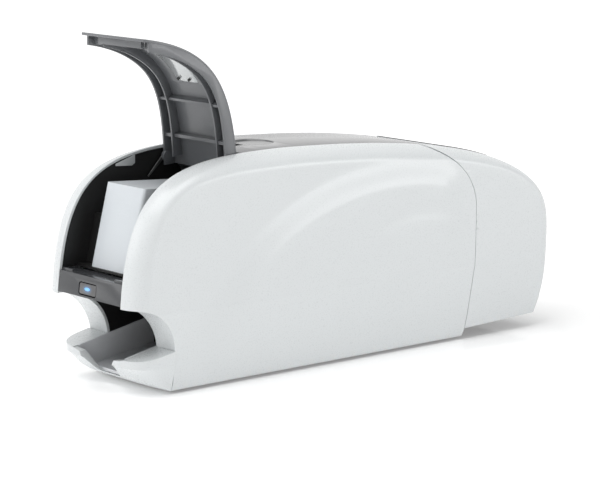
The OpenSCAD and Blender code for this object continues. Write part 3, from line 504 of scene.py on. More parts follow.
# Each swell's middle, half length and height, its dip and crest in mm, and the widths of
# the dip, the rise and the fall. Both fade out toward the foot and toward the rear seam.
BROAD = ((45 * MM, 14 * MM), 227 * MM, 163 * MM, 1.5, 3.5, (60 * MM, 28 * MM, 130 * MM))
FAINT = ((72 * MM, 61 * MM), 95 * MM, 66 * MM, 0.4, 0.8, (12 * MM, 11 * MM, 40 * MM))
FOOT_FADE = (8 * MM, 60 * MM)
SEAM_FADE = (-132 * MM, -95 * MM)


def side_relief(y, z):
    """The long swell on the flat, and a fainter one that curls up behind it."""
    fade = smooth_step(*FOOT_FADE, z) * smooth_step(*SEAM_FADE, -y)
    return (swell(*BROAD, y, z) + swell(*FAINT, y, z)) * fade * MM


SEAM_FOOT = in_mm((133, 0), (136.5, 20), (140, 80))
SEAM_BEND = ((140.5, 122), (140.5, 152), (117, 168), (86, 184))
SEAM_END_Y = 78 * MM
SEAM_STEPS = 20


def rear_region(gap):
    """Side view of all that lies behind the seam, the seam moved back by the gap."""
    foot, *line = SEAM_FOOT + curve_of(SEAM_BEND, SEAM_STEPS)
    seam = [(foot[0], foot[1] - MARGIN), *line, (SEAM_END_Y, TOP + MARGIN)]
    shifted = [(y + gap, z) for y, z in seam]
    return [(HALF + PAST, -MARGIN), *shifted, (HALF + PAST, TOP + MARGIN)]


SIDE_GAP = 0.6 * MM
PANEL_LAP = 4 * MM
FLOOR_LAP = 6 * MM
HOLLOW_X = 20 * MM
BAY_SEGMENTS = 160
# How finely the body is cut, on its outside and inside its hollow.
OUTSIDE = {"steps": 60, "turn_steps": 10}
INSIDE = {"steps": 40, "turn_steps": 8, "flat_steps": 1}
foot_front = BAY_Y + BAY_R


def side_cover():
    shell = body_side(CHANNEL_X, 0.0, **OUTSIDE, flat_steps=60, relief=side_relief)
    piece = as_object(shell, "right_cover_shell")
    hollow = as_object(body_side(HOLLOW_X, WALL, **INSIDE), "hollow")
    carve(hollow, "DIFFERENCE", rod(-FAR, FAR, BAY_R + WALL, BAY_Y, BAY_Z),
          block((-FAR, -HALF - PAST, -PAST), (FAR, foot_front + WALL, BAY_Z)))
    above = block((0, -HALF - PAST, PANEL_Z - PANEL_LAP), (STRIP_X, HALF + PAST, TOP + PAST))
    behind = block((0, foot_front + FLOOR_LAP, -PAST), (STRIP_X, HALF + PAST, TOP + PAST))
    bay = rod(-FAR, FAR, BAY_R, BAY_Y, BAY_Z, BAY_SEGMENTS)
    under_bay = block((0, -HALF - PAST, -PAST), (FAR, foot_front, BAY_Z))
    rear = slab(rear_region(-SIDE_GAP), -FAR, FAR)
    carve(piece, "DIFFERENCE", hollow, above, behind, bay, under_bay, rear)
    soften(piece, width=0.8 * MM)
    return piece


def mirrored(piece, name):
    mesh = bmesh.new()
    mesh.from_mesh(piece.data)
    bmesh.ops.scale(mesh, vec=(-1, 1, 1), verts=mesh.verts)
    bmesh.ops.reverse_faces(mesh, faces=mesh.faces)
    return as_object(mesh, name)


def hand_over(piece, body, slot, *nodes):
    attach(piece, body)
    if nodes:
        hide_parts(*nodes)


white_plastic = moulded("white_plastic", grey(220, COOL), roughness=0.28, grain=0.008, coat=0.12,
                        shade=0.01)
right_shell = side_cover()
left_shell = mirrored(right_shell, "left_cover_shell")
for shell, node in ((right_shell, "right_side_cover"), (left_shell, "left_side_cover")):
    finish(shell, white_plastic)
    hand_over(shell, "chassis", "white_shell", node)

# --- Rear cover ----------------------------------------------------------------------
# One white moulding closes the tail. It butts against the side covers in a curved seam
# and leaves openings for the sockets low in its back.

REAR_Z = 10.5 * MM
UNDER_TILT = math.radians(2)
SOCKET_Z = 30 * MM
SOCKET_FROM = HALF - 25 * MM
SOCKET_TO = HALF + 5 * MM
STRIP_WAY_Y = 50 * MM
STRIP_WAY_Z = 150 * MM
UNDER_LOW = (-10 * MM, -100 * MM, -100 * MM)
UNDER_HIGH = (FAR, 200 * MM, 0)
MIRROR_MERGE = 0.05 * MM
SOCKET_WAYS = ((38, 12.6, 12.6), (14, 12.6, 11.6), (-8, 16.6, 14.6), (-36, 20.6, 13.6))


def everything(mesh):
    return mesh.verts[:] + mesh.edges[:] + mesh.faces[:]


tail_shell = as_object(body_side(0.0, 0.0, **OUTSIDE, flat_steps=16), "rear_cover_shell")
tail_hollow = as_object(body_side(-OVER, WALL, **INSIDE), "hollow")
carve(tail_shell, "DIFFERENCE", tail_hollow)
carve(tail_shell, "INTERSECT", slab(rear_region(0.0), -OVER, FAR))
strip_way = block((-PAST, STRIP_WAY_Y, STRIP_WAY_Z), (STRIP_X, SEAM_Y - SEAM_R, TOP + PAST))
under = block(UNDER_LOW, UNDER_HIGH)
tilt_up = Matrix.Translation((0, SEAM_Y, REAR_Z)) @ Matrix.Rotation(UNDER_TILT, 4, "X")
bmesh.ops.transform(under, verts=under.verts, matrix=tilt_up)
carve(tail_shell, "DIFFERENCE", strip_way, under)
whole_tail = bmesh.new()
whole_tail.from_mesh(tail_shell.data)
bmesh.ops.bisect_plane(whole_tail, geom=everything(whole_tail), plane_co=(0, 0, 0),
                       plane_no=(-1, 0, 0), clear_outer=True)
bmesh.ops.mirror(whole_tail, geom=everything(whole_tail), axis="X", merge_dist=MIRROR_MERGE)
whole_tail.to_mesh(tail_shell.data)
whole_tail.free()
for middle, width, height in SOCKET_WAYS:
    low = ((middle - width / 2) * MM, SOCKET_FROM, SOCKET_Z - height / 2 * MM)
    high = ((middle + width / 2) * MM, SOCKET_TO, SOCKET_Z + height / 2 * MM)
    carve(tail_shell, "DIFFERENCE", block(low, high))
soften(tail_shell, width=0.6 * MM)
finish(tail_shell, white_plastic)
hand_over(tail_shell, "chassis", "white_shell", "rear_cover")

# --- Top cover -----------------------------------------------------------------------
# A glossy grey moulded strip closes the top between the side covers, hinged near the tail.
# It has a shallow round dish for a fingertip, and a slot for the latch ahead of the dish.

HINGE_Y = -HALF + 114.1 * MM
HINGE_Z = 182.7 * MM
TOP_X = STRIP_X - 0.6 * MM
TOP_FRONT = HINGE_Y + 11.8 * MM
TOP_REAR = SEAM_Y - SEAM_R - 4 * MM
LINE_STEPS = 36
LUG_IN = 32 * MM
LUG_OUT = 36.5 * MM
LUG_OUTLINE = in_mm((89, 166), (96, 166), (98, 177), (98, 179.2), (82, 181.6))
PIN_R = 2.6 * MM
PIN_PLACE = (94 * MM, 171 * MM)
DISH_Y = -66 * MM
DISH_LOW_R = 17.6 * MM
DISH_HIGH_R = 19.4 * MM
DISH_DEPTH = 1.5 * MM
LATCH_X = 11 * MM
LATCH_Y = -90 * MM
LATCH_HALF = 4.5 * MM
LATCH_FIT = 0.6 * MM
LATCH_LOW = 180 * MM
LATCH_HIGH = 200 * MM
TAB_HALF = 4 * MM
TAB_LOW = 189.8 * MM
TAB_HIGH = 192.4 * MM
PIN_OVER = 0.5 * MM
HALVINGS = 30


def place_on(curve, axis, value):
    """How far along a rising curve a coordinate is reached, found by halving."""
    low, high = 0.0, 1.0
    for _ in range(HALVINGS):
        middle = (low + high) / 2
        if cubic(curve, middle)[axis] < value:
            low = middle
        else:
            high = middle
    return low


def strip_line(inset):
    """The top strip's line in side view, over the crown from its front edge to its rear one."""
    nose, tail = nose_curve(inset), tail_curve(inset)
    start, end = place_on(nose, 0, TOP_FRONT), place_on(tail, 0, TOP_REAR)
    line = [cubic(nose, start + (1 - start) * i / LINE_STEPS) for i in range(LINE_STEPS)]
    return line + [cubic(tail, end * i / LINE_STEPS) for i in range(LINE_STEPS + 1)]


def on_side(side, inner, outer):
    """The two places across that a shape lies between, on the side of -1 or 1."""
    return sorted((side * inner, side * outer))


strip_body = slab(strip_line(0.0) + strip_line(WALL)[::-1], -TOP_X, TOP_X)
top_strip = as_object(strip_body, "top_strip")
for side in (-1, 1):
    carve(top_strip, "UNION", slab(LUG_OUTLINE, *on_side(side, LUG_IN, LUG_OUT)))
pin_way = rod(-LUG_OUT - PIN_OVER, LUG_OUT + PIN_OVER, PIN_R, *PIN_PLACE)
dish_low, dish_high = TOP - DISH_DEPTH, TOP + OVER
dish = drum(DISH_LOW_R, dish_high - dish_low,
            Matrix.Translation((0, DISH_Y, (dish_low + dish_high) / 2)), far_radius=DISH_HIGH_R)
latch_way = block((-LATCH_X, LATCH_Y - LATCH_HALF, LATCH_LOW),
                  (LATCH_X, LATCH_Y + LATCH_HALF, LATCH_HIGH))
carve(top_strip, "DIFFERENCE", pin_way, dish, latch_way)
soften(top_strip, width=0.5 * MM)
strip_grey = moulded("strip_grey", grey(80, (0.97, 0.99, 1.03)), roughness=0.20, grain=0.01,
                     coat=0.3, shade=0.02)
finish(top_strip, strip_grey)
hand_over(top_strip, "top_lid", "dark_trim", "top_cover")

tab_x = LATCH_X - LATCH_FIT
latch_tab = as_object(block((-tab_x, LATCH_Y - TAB_HALF, TAB_LOW),
                            (tab_x, LATCH_Y + TAB_HALF, TAB_HIGH)), "latch_tab")
soften(latch_tab, width=0.7 * MM)
finish(latch_tab, black_plastic)
hand_over(latch_tab, "top_lid", "black_plastic", "cover_latch")

# --- Rear strip ----------------------------------------------------------------------
# The same grey strip runs on over the white rear cover as a thin plate of its own.
# It is stuck on and fades into the cover with a small rounded edge.

TAIL_PARTS = 14
TRIM_START = 4
TRIM_PARTS = 2
TRIM_STEPS = 24
TRIM_PROUD = 1 * MM
TRIM_SUNK = 0.6 * MM


def trim_line(inset):
    """The rear strip's line in side view; the tail's curve is counted in equal parts."""
    places = [TRIM_START + TRIM_PARTS * i / TRIM_STEPS for i in range(TRIM_STEPS + 1)]
    return [cubic(tail_curve(inset), place / TAIL_PARTS) for place in places]


trim_body = slab(trim_line(-TRIM_PROUD) + trim_line(TRIM_SUNK)[::-1], -TOP_X, TOP_X)
rear_strip = as_object(trim_body, "rear_strip")
soften(rear_strip, width=0.5 * MM)
finish(rear_strip, strip_grey)
hand_over(rear_strip, "chassis", "dark_trim", "rear_trim")

# --- Hopper cover --------------------------------------------------------------------
# A dark grey moulded lid, hinged over the cards and standing open. Its inside is stiffened
# by ribs moulded along and across it, and a small window is clipped into a hole in it.

LID_X = STRIP_X - 1.5 * MM
LID_SKIN = 2.5 * MM
LID_STEPS = 40
LID_END_Y = HINGE_Y + 7 * MM
FREE_Z = 96.4 * MM
RIB_DEEP = 11 * MM
RIB_TIP = 8 * MM
RIB_GROWS = 0.3
RIB_ROOT = LID_SKIN - 0.3 * MM
RIB_T = 1.8 * MM
RIB_X = 30 * MM
RIB_DT = 0.012
FLANGE_T = 2.2 * MM
FLANGE_FROM = 0.02
LONG_FROM = 0.05
LONG_SHORT = 0.03
STUB_SHORT = 0.2 * MM
FLANGE_SHARE = 1.0
LONG_SHARE = 0.93
STUB_SHARE = 0.8
CROSS_SHARE = 0.7
STUB_PLACES = (0.12, 0.585, 0.74)
CROSS_PLACES = (0.105, 0.585, 0.74)
BOSS_R = 5 * MM
BOSS_IN = 1.6 * MM
BOSS_SEGMENTS = 48
WINDOW_X = 14.5 * MM
WINDOW_START = 0.32
WINDOW_END = 0.51
WINDOW_FIT = 0.1 * MM
WINDOW_FIT_T = 0.002
WINDOW_CUT = LID_SKIN + 1.5 * MM
PANE_SUNK = 0.4 * MM
PANE_BACK = LID_SKIN + 0.3 * MM
PEG_PLACE = 0.49
PEG_XS = (-10 * MM, 5 * MM)
PEG_R = 1.3 * MM
PEG_TIP_R = 1.1 * MM
PEG_L = 2.6 * MM
PEG_IN = LID_SKIN + 1.2 * MM
PEG_SEGMENTS = 24
SLOPE_STEP = 0.01
lid_start = place_on(nose_curve(0.0), 1, FREE_Z)
lid_end = place_on(nose_curve(0.0), 0, LID_END_Y)


def lid_places(start, end):
    return [start + (end - start) * i / LID_STEPS for i in range(LID_STEPS + 1)]


def nose_band(outer, inner, start, end):
    """Side view of the part of the lid between two insets and two places on the nose curve."""
    places = lid_places(start, end)
    line = [cubic(nose_curve(outer), t) for t in places]
    return line + [cubic(nose_curve(inner), t) for t in reversed(places)]


def rib_side(share, start, end):
    """Side view of a rib on the lid's inside, shallower toward the lid's free tip."""
    places = lid_places(start, end)
    line = [cubic(nose_curve(RIB_ROOT), t) for t in places]
    for t in reversed(places):
        grown = smooth_step(lid_start, lid_start + RIB_GROWS, t)
        deep = RIB_TIP + (RIB_DEEP - RIB_TIP) * grown
        line.append(cubic(nose_curve(LID_SKIN + share * deep), t))
    return line


def gather(name, *meshes):
    """One piece from meshes that only touch or run into each other."""
    whole = bmesh.new()
    for mesh in meshes:
        data = bpy.data.meshes.new("part")
        mesh.to_mesh(data)
        mesh.free()
        whole.from_mesh(data)
        bpy.data.meshes.remove(data)
    return as_object(whole, name)


def swing_open(piece):
    """Turn what was drawn on the closed lid to where the open lid stands."""
    mesh = bmesh.new()
    mesh.from_mesh(piece.data)
    bmesh.ops.rotate(mesh, verts=mesh.verts, cent=(0, HINGE_Y, HINGE_Z),
                     matrix=Matrix.Rotation(-math.pi / 2, 3, "X"))
    mesh.to_mesh(piece.data)
    mesh.free()


lid = as_object(slab(nose_band(0.0, LID_SKIN, lid_start, lid_end), -LID_X, LID_X),
                "hopper_lid_moulding")
window_way = nose_band(-OVER, WINDOW_CUT, WINDOW_START, WINDOW_END)
carve(lid, "DIFFERENCE", slab(window_way, -WINDOW_X, WINDOW_X))
soften(lid, width=0.6 * MM)
rib_meshes = []
for side in (-1, 1):
    flange = rib_side(FLANGE_SHARE, lid_start + FLANGE_FROM, lid_end)
    rib_meshes.append(slab(flange, *on_side(side, LID_X - FLANGE_T, LID_X)))
    long_rib = rib_side(LONG_SHARE, lid_start + LONG_FROM, lid_end - LONG_SHORT)
    rib_meshes.append(slab(long_rib, *on_side(side, RIB_X, RIB_X + RIB_T)))
    for t in STUB_PLACES:
        stub = rib_side(STUB_SHARE, t, t + RIB_DT)
        rib_meshes.append(slab(stub, *on_side(side, RIB_X, LID_X - STUB_SHORT)))
    boss = on_side(side, LID_X - FLANGE_T - BOSS_IN, LID_X)
    rib_meshes.append(rod(*boss, BOSS_R, HINGE_Y, HINGE_Z, BOSS_SEGMENTS))
for t in CROSS_PLACES:
    rib_meshes.append(slab(rib_side(CROSS_SHARE, t, t + RIB_DT), -RIB_X, RIB_X))
ribs = gather("hopper_lid_ribs", *rib_meshes)
soften(ribs, width=0.35 * MM, segments=2)
lid_grey = moulded("lid_grey", grey(104, (0.96, 1.0, 1.06)), roughness=0.36, grain=0.03, coat=0.25)
for piece in (lid, ribs):
    swing_open(piece)
    finish(piece, lid_grey)
    hand_over(piece, "hopper_lid", "grey_inner")
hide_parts("hopper_cover")

pane = nose_band(PANE_SUNK, PANE_BACK, WINDOW_START + WINDOW_FIT_T, WINDOW_END - WINDOW_FIT_T)
window = as_object(slab(pane, WINDOW_FIT - WINDOW_X, WINDOW_X - WINDOW_FIT), "hopper_lid_window")
soften(window, width=0.3 * MM)
peg_point = cubic(nose_curve(PEG_IN), PEG_PLACE)
inner_skin = nose_curve(LID_SKIN)
slope = cubic(inner_skin, PEG_PLACE + SLOPE_STEP) - cubic(inner_skin, PEG_PLACE - SLOPE_STEP)
peg_lean = Matrix.Rotation(math.atan2(slope.y, slope.x), 4, "X")
pegs = []
for x in PEG_XS:
    stand = Matrix.Translation((x, peg_point.x, peg_point.y)) @ peg_lean
    pegs.append(drum(PEG_R, PEG_L, stand, PEG_SEGMENTS, PEG_TIP_R))
window_pegs = gather("window_pegs", *pegs)
soften(window_pegs, width=0.25 * MM, segments=2)
silvered = moulded("silvered_window", grey(196, COOL), roughness=0.10, grain=0.005, coat=0.6,
                   metallic=0.35, shade=0.03)
for piece, material in ((window, silvered), (window_pegs, black_plastic)):
    swing_open(piece)
    finish(piece, material)
    hand_over(piece, "hopper_lid", "steel")
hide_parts("hopper_window")

# --- Hopper --------------------------------------------------------------------------
# A black moulded bin guides the cards down to the pick roller. A pale stop is moulded on
# the inner wall, and bent steel brackets beside the wall hold the lid's hinge pins.

STOP_OUTLINE = in_mm((-180, 178.1), (-163.3, 177.1), (-160.1, 179), (-160, 186.3), (-180, 180))
STOP_NEAR = -45.4 * MM
STOP_FAR = -44.2 * MM
BRACKET_OUTLINE = in_mm((-131.4, 184.4), (-129.2, 184.2), (-130.4, 180.4), (-146.6, 165.6),
                        (-147.8, 166.8))
BRACKET_X = 43 * MM
BRACKET_T = 1 * MM

dress("hopper_bin", black_plastic)
pale_plastic = moulded("pale_plastic", grey(198, COOL), roughness=0.4)
wall_stop = as_object(slab(STOP_OUTLINE, STOP_NEAR, STOP_FAR), "wall_stop")
soften(wall_stop, width=0.3 * MM, segments=2)
finish(wall_stop, pale_plastic)
hand_over(wall_stop, "chassis", "white_shell")
steel = moulded("bright_steel", grey(196), roughness=0.28, grain=0.02, metallic=1.0, shade=0.05)
dress("hopper_hinge_pins", steel)
dark_steel = moulded("dark_steel", grey(120), roughness=0.35, grain=0.02, metallic=1.0, shade=0.05)
brackets = [slab(BRACKET_OUTLINE, *on_side(side, BRACKET_X, BRACKET_X + BRACKET_T))
            for side in (-1, 1)]
hinge_brackets = gather("hinge_brackets", *brackets)
soften(hinge_brackets, width=0.25 * MM, segments=2)
finish(hinge_brackets, dark_steel)
hand_over(hinge_brackets, "chassis", "steel")

# --- Cards ---------------------------------------------------------------------------
# Ninety-two blank white plastic cards lie in the hopper, each with four round corners.
# The pile leans back a little, and no card lies quite square on the one below it.

CARDS = 92
CARD_W = 54 * MM
CARD_L = 85.6 * MM
CARD_T = 0.76 * MM
CARD_R = 3.18 * MM
CARD_GAP = 0.015
STACK_Y = -HALF + 21.7 * MM
STACK_Z = 99.1 * MM
STACK_LEAN = math.radians(14.3)
CARD_TILT = math.radians(-3.5)
SLIP = 0.10 * MM
SLIP_STEP = 0.9
SLIP_SEED = (3.1, 7.7)
SKEW = 0.15 * MM
SKEW_STEP = 0.7
SKEW_SEED = (1.3, 2.2)
CORNER_STEPS = 5
QUARTERS = ((1, 1, 0), (-1, 1, 90), (-1, -1, 180), (1, -1, 270))


def rounded_box(half_w, half_h, radius, steps):
    """Corners of a rounded oblong, each quarter turn cut in so many steps."""
    points = []
    for side_x, side_y, first in QUARTERS:
        for step in range(steps + 1):
            angle = math.radians(first + 90 / steps * step)
            points.append(((half_w - radius) * side_x + radius * math.cos(angle),
                           (half_h - radius) * side_y + radius * math.sin(angle)))
    return points


cards = bmesh.new()
for index in range(CARDS):
    start = len(cards.verts)
    height = index * CARD_T
    slip = noise.noise(Vector((index * SLIP_STEP, *SLIP_SEED))) * SLIP
    skew = noise.noise(Vector((SKEW_SEED[0], index * SKEW_STEP, SKEW_SEED[1]))) * SKEW
    centre = (skew, STACK_Y + height * math.tan(STACK_LEAN) + slip + CARD_L / 2, STACK_Z + height)
    corners = rounded_box(CARD_W / 2, CARD_L / 2, CARD_R, CORNER_STEPS)
    base = cards.faces.new([cards.verts.new((x, y, 0)) for x, y in corners])
    draw_out(cards, [base], (0, 0, CARD_T * (1 - CARD_GAP)))
    cards.verts.ensure_lookup_table()
    fresh = cards.verts[start:]
    bmesh.ops.rotate(cards, verts=fresh, cent=(0, -CARD_L / 2, 0),
                     matrix=Matrix.Rotation(CARD_TILT, 3, "X"))
    bmesh.ops.translate(cards, verts=fresh, vec=centre)
bmesh.ops.recalc_face_normals(cards, faces=cards.faces)
card_pile = as_object(cards, "card_pile")
soften(card_pile, width=0.0)
card_white = moulded("card_white", grey(222, (0.95, 1.0, 1.04)), roughness=0.35, grain=0.01,
                     coat=0.2, shade=0.015)
finish(card_pile, card_white)
hand_over(card_pile, "chassis", "card", "card_stack")

# --- Front panel and power button ----------------------------------------------------
# A grey moulded panel closes the front below the lid. Its rounded top edge runs back as a
# dark shelf to the cards, and the wide power button sits in a close-fitting pocket.

PANEL_FRONT = -HALF + 0.7 * MM
PANEL_TOP = 95.8 * MM
PANEL_LEAN = 2.3 * MM
PANEL_X = STRIP_X - 0.3 * MM
PANEL_T = 3 * MM
SHELF_REAR = PANEL_FRONT + 19.5 * MM
PAD_IN = 30 * MM
PAD_OUT = 44 * MM
PAD_FRONT = 2.4 * MM
PAD_REAR = 5.4 * MM
PAD_RISE = 2 * MM
BUTTON_X = -3.2 * MM
BUTTON_Z = PANEL_Z + 2.5 * MM
BUTTON_W = 23.5 * MM
BUTTON_H = 9.2 * MM
BUTTON_R = 1.6 * MM
BUTTON_GAP = 0.9 * MM
BUTTON_STEPS = 6
BUTTON_SUNK = 0.2 * MM
BUTTON_BACK = 7 * MM
POCKET_BACK = 12 * MM
POCKET_AHEAD = 2 * MM
LAMP_X = BUTTON_X - 0.5 * MM
LAMP_Z = BUTTON_Z + BUTTON_H / 2
LAMP_TILT = math.radians(90 - 7.3)
LAMP_LEVEL = 0.8
LENS_W = 4.2 * MM
LENS_H = 1.6 * MM
LENS_T = 1.6 * MM
LENS_IN = 1.75 * MM
LENS_SEGMENTS = 40
PAINTED_GLOW_SIZE = (8 * MM, 4.4 * MM)
LENS_GLOW_SIZE = (5 * MM, 2.2 * MM)
UNLIT = (0.0, 0.0, 0.0, 1.0)
PAINTED_GLOW_BLUE = (0.06, 0.18, 0.36, 1.0)
RIM_BLUE = (0.06, 0.16, 0.36, 1.0)
MIDDLE_BLUE = (0.2, 0.42, 0.7, 1.0)
RIM_GLOW = (0.02, 0.11, 0.45, 1.0)
MIDDLE_GLOW = (0.14, 0.42, 0.85, 1.0)


def panel_y(z):
    return PANEL_FRONT + PANEL_LEAN * (z - PANEL_Z) / (PANEL_TOP - PANEL_Z)


top_y = panel_y(PANEL_TOP)
panel_outline = [(PANEL_FRONT, PANEL_Z), (top_y, PANEL_TOP), (SHELF_REAR, PANEL_TOP),
                 (SHELF_REAR, PANEL_TOP - PANEL_T), (top_y + PANEL_T, PANEL_TOP - PANEL_T),
                 (PANEL_FRONT + PANEL_T, PANEL_Z + PANEL_T), (SHELF_REAR, PANEL_Z + PANEL_T),
                 (SHELF_REAR, PANEL_Z)]
panel = as_object(slab(panel_outline, -PANEL_X, PANEL_X), "front_panel_shell")
for side in (-1, 1):
    near, far = on_side(side, PAD_IN, PAD_OUT)
    pad = block((near, top_y + PAD_FRONT, PANEL_TOP - OVER),
                (far, top_y + PAD_REAR, PANEL_TOP + PAD_RISE))
    carve(panel, "UNION", pad)


def button_block(grow, front, back):
    """Rounded oblong on the leaning face, drawn out from front to back."""
    corners = []
    oblong = rounded_box(BUTTON_W / 2 + grow, BUTTON_H / 2 + grow, BUTTON_R + grow, BUTTON_STEPS)
    for x, z in oblong:
        corners.append((BUTTON_X + x, panel_y(LAMP_Z + z) + front, LAMP_Z + z))
    return prism(corners, (0, back - front, 0))


carve(panel, "DIFFERENCE", button_block(BUTTON_GAP, -POCKET_AHEAD, POCKET_BACK))
soften(panel, width=0.9 * MM, segments=4)
panel_grey = moulded("panel_grey", grey(64, (0.94, 0.99, 1.08)), roughness=0.26, grain=0.03,
                     coat=0.3)
finish(panel, panel_grey)
hand_over(panel, "chassis", "grey_panel", "front_panel")

button = as_object(button_block(0.0, BUTTON_SUNK, BUTTON_BACK), "button_cap")
soften(button, width=0.5 * MM, segments=3)
button_grey = moulded("button_grey", grey(92, (1.0, 0.99, 1.01)), roughness=0.34, grain=0.02,
                      coat=0.15)


def round_lamp(material, wide, high):
    """Squared distance from the lamp's middle on the panel, 0 in the middle and 1 at the rim."""
    x = material.node("ShaderNodeSeparateXYZ", {}, material.place(), out="X")
    z = material.node("ShaderNodeSeparateXYZ", {}, material.place(), out="Z")
    across, up = (x - LAMP_X) * (1 / wide), (z - LAMP_Z) * (1 / high)
    return (across * across + up * up).at_most(1.0)


# Painted glow: the lamp's blue light is painted onto the button's face as an emission that fades
# out from the lamp.
painted_glow = 1.0 - round_lamp(button_grey, *PAINTED_GLOW_SIZE)
painted_glow_colour = button_grey.mix(painted_glow * painted_glow, UNLIT, PAINTED_GLOW_BLUE)
button_grey.feed("Emission Color", painted_glow_colour)
button_grey.feed("Emission Strength", LAMP_LEVEL)
finish(button, button_grey)
hand_over(button, "button", "grey_panel", "power_button")

lens_mesh = bmesh.new()
bmesh.ops.create_circle(lens_mesh, cap_ends=True, segments=LENS_SEGMENTS, radius=1.0,
                        matrix=Matrix.Diagonal((LENS_W, LENS_H, 1, 1)))
draw_out(lens_mesh, lens_mesh.faces[:], (0, 0, LENS_T))
lens_place = Matrix.Translation((LAMP_X, panel_y(LAMP_Z) + LENS_IN, LAMP_Z))
bmesh.ops.transform(lens_mesh, verts=lens_mesh.verts,
                    matrix=lens_place @ Matrix.Rotation(LAMP_TILT, 4, "X"))
bmesh.ops.recalc_face_normals(lens_mesh, faces=lens_mesh.faces)
lens = as_object(lens_mesh, "button_lens")
soften(lens, width=0.3 * MM, segments=2)
lens_light = Material("lens_light", Roughness=0.3, Emission_Strength=LAMP_LEVEL)
centre = 1.0 - round_lamp(lens_light, *LENS_GLOW_SIZE)
lens_light.feed("Base Color", lens_light.mix(centre, RIM_BLUE, MIDDLE_BLUE))
lens_light.feed("Emission Color", lens_light.mix(centre, RIM_GLOW, MIDDLE_GLOW))
finish(lens, lens_light)
hand_over(lens, "button", "led", "button_light")

# --- Output tray ---------------------------------------------------------------------
# A white moulded tray catches the printed cards at the front, below the round bay. Its
# front wall dips in a soft curve for a fingertip, and its outside is rounded like a prow.

TRAY_REAR = foot_front - 0.6 * MM
TRAY_FRONT = -HALF + 7 * MM
TRAY_X = WAIST_X - 4 * MM
TRAY_FOOT_X = FOOT_X - 1.2 * MM
TRAY_SPREAD = 26 * MM
TRAY_SQUARE = 4
TRAY_SLOPE = 0.2
TRAY_REAR_Z = BAY_Z + 3.5 * MM
PROW = ((-200.3, 3), (-225.3, 8.7), (-228.4, 21.9), (-235, 24.5))
PROW_STEPS = 24
RING_STEPS = 72
LINER_FRONT = TRAY_FRONT + 16.4 * MM
LINER_LEAN = 0.6
CHANNEL_FLOOR = 12.4 * MM
CHANNEL_SLOPE = 0.155
CHANNEL_DEEP = 1.6 * MM
CHANNEL_TOP = 50 * MM
NOTCH_EDGE = ((12.5, 11), (20, 14), (20.5, 24), (24.5, 28.8))
NOTCH_SIDE_Z = 30 * MM
NOTCH_REAR = LINER_FRONT + 9 * MM
NOTCH_STEPS = 20
CUT_TOP = 100 * MM


def tray_top(y):
    return TRAY_REAR_Z + (y - TRAY_REAR) * TRAY_SLOPE


def floor_at(y):
    return CHANNEL_FLOOR + (y - LINER_FRONT) * CHANNEL_SLOPE


def wall_at(z):
    return LINER_FRONT - (z - CHANNEL_FLOOR) * LINER_LEAN


def tray_ring(y, z):
    """The tray's outline in plan at one height: a half round that is squared off."""
    across = TRAY_FOOT_X + (TRAY_X - TRAY_FOOT_X) * min(1.0, (z - FOOT_Z) / TRAY_SPREAD)
    ring = []
    for i in range(RING_STEPS + 1):
        angle = math.pi * i / RING_STEPS
        wide = abs(math.cos(angle)) ** (2 / TRAY_SQUARE) * (1 if i < RING_STEPS / 2 else -1)
        deep = abs(math.sin(angle)) ** (2 / TRAY_SQUARE)
        ring.append(Vector((across * wide, TRAY_REAR + (y - TRAY_REAR) * deep, z)))
    return ring


prow = curve_of(PROW, PROW_STEPS) + [Vector((TRAY_FRONT, TRAY_REAR_Z + OVER))]
hull = bmesh.new()
rings = [[hull.verts.new(point) for point in tray_ring(place.x, place.y)] for place in prow]
for low, high in zip(rings, rings[1:]):
    for i, vertex in enumerate(low):
        hull.faces.new((vertex, low[i - 1], high[i - 1], high[i]))
hull.faces.new(rings[0])
hull.faces.new(rings[-1])
bmesh.ops.recalc_face_normals(hull, faces=hull.faces)
tray = as_object(hull, "tray_shell")
cut_front, cut_rear = -HALF - MARGIN, TRAY_REAR + MARGIN
above_tray = [(cut_front, tray_top(cut_front)), (cut_rear, tray_top(cut_rear)),
              (cut_rear, CUT_TOP), (cut_front, CUT_TOP)]
carve(tray, "DIFFERENCE", slab(above_tray, -FAR, FAR))
liner_foot = CHANNEL_FLOOR - CHANNEL_DEEP
channel_rear = TRAY_REAR + OVER
channel = [(wall_at(liner_foot), liner_foot), (wall_at(CHANNEL_TOP), CHANNEL_TOP),
           (channel_rear, CHANNEL_TOP), (channel_rear, floor_at(TRAY_REAR) - CHANNEL_DEEP)]
carve(tray, "DIFFERENCE", slab(channel, -CHANNEL_X, CHANNEL_X))
dip = [*map(tuple, curve_of(NOTCH_EDGE, NOTCH_STEPS)), (CHANNEL_X, NOTCH_SIDE_Z),
       (CHANNEL_X, CHANNEL_TOP)]
notch = dip + [(-x, z) for x, z in reversed(dip)]
carve(tray, "DIFFERENCE", prism([(x, cut_front, z) for x, z in notch],
                                (0, NOTCH_REAR - cut_front, 0)))
soften(tray, width=0.6 * MM, angle=40, smooth=50)
finish(tray, white_plastic)
hand_over(tray, "chassis", "white_shell", "output_tray")

# --- Tray liner and chute ------------------------------------------------------------
# A grey liner lies in the tray's channel, with a rounded front lip. Behind it the black
# sheet chute rises to the card path.

LINER_REAR = -HALF + 92 * MM
LINER_X = CHANNEL_X - 0.1 * MM
LINER_T = 1.4 * MM
LINER_FIT = 0.2 * MM
LIP_HALF = 1.2 * MM
CORNER_Z = 31.3 * MM

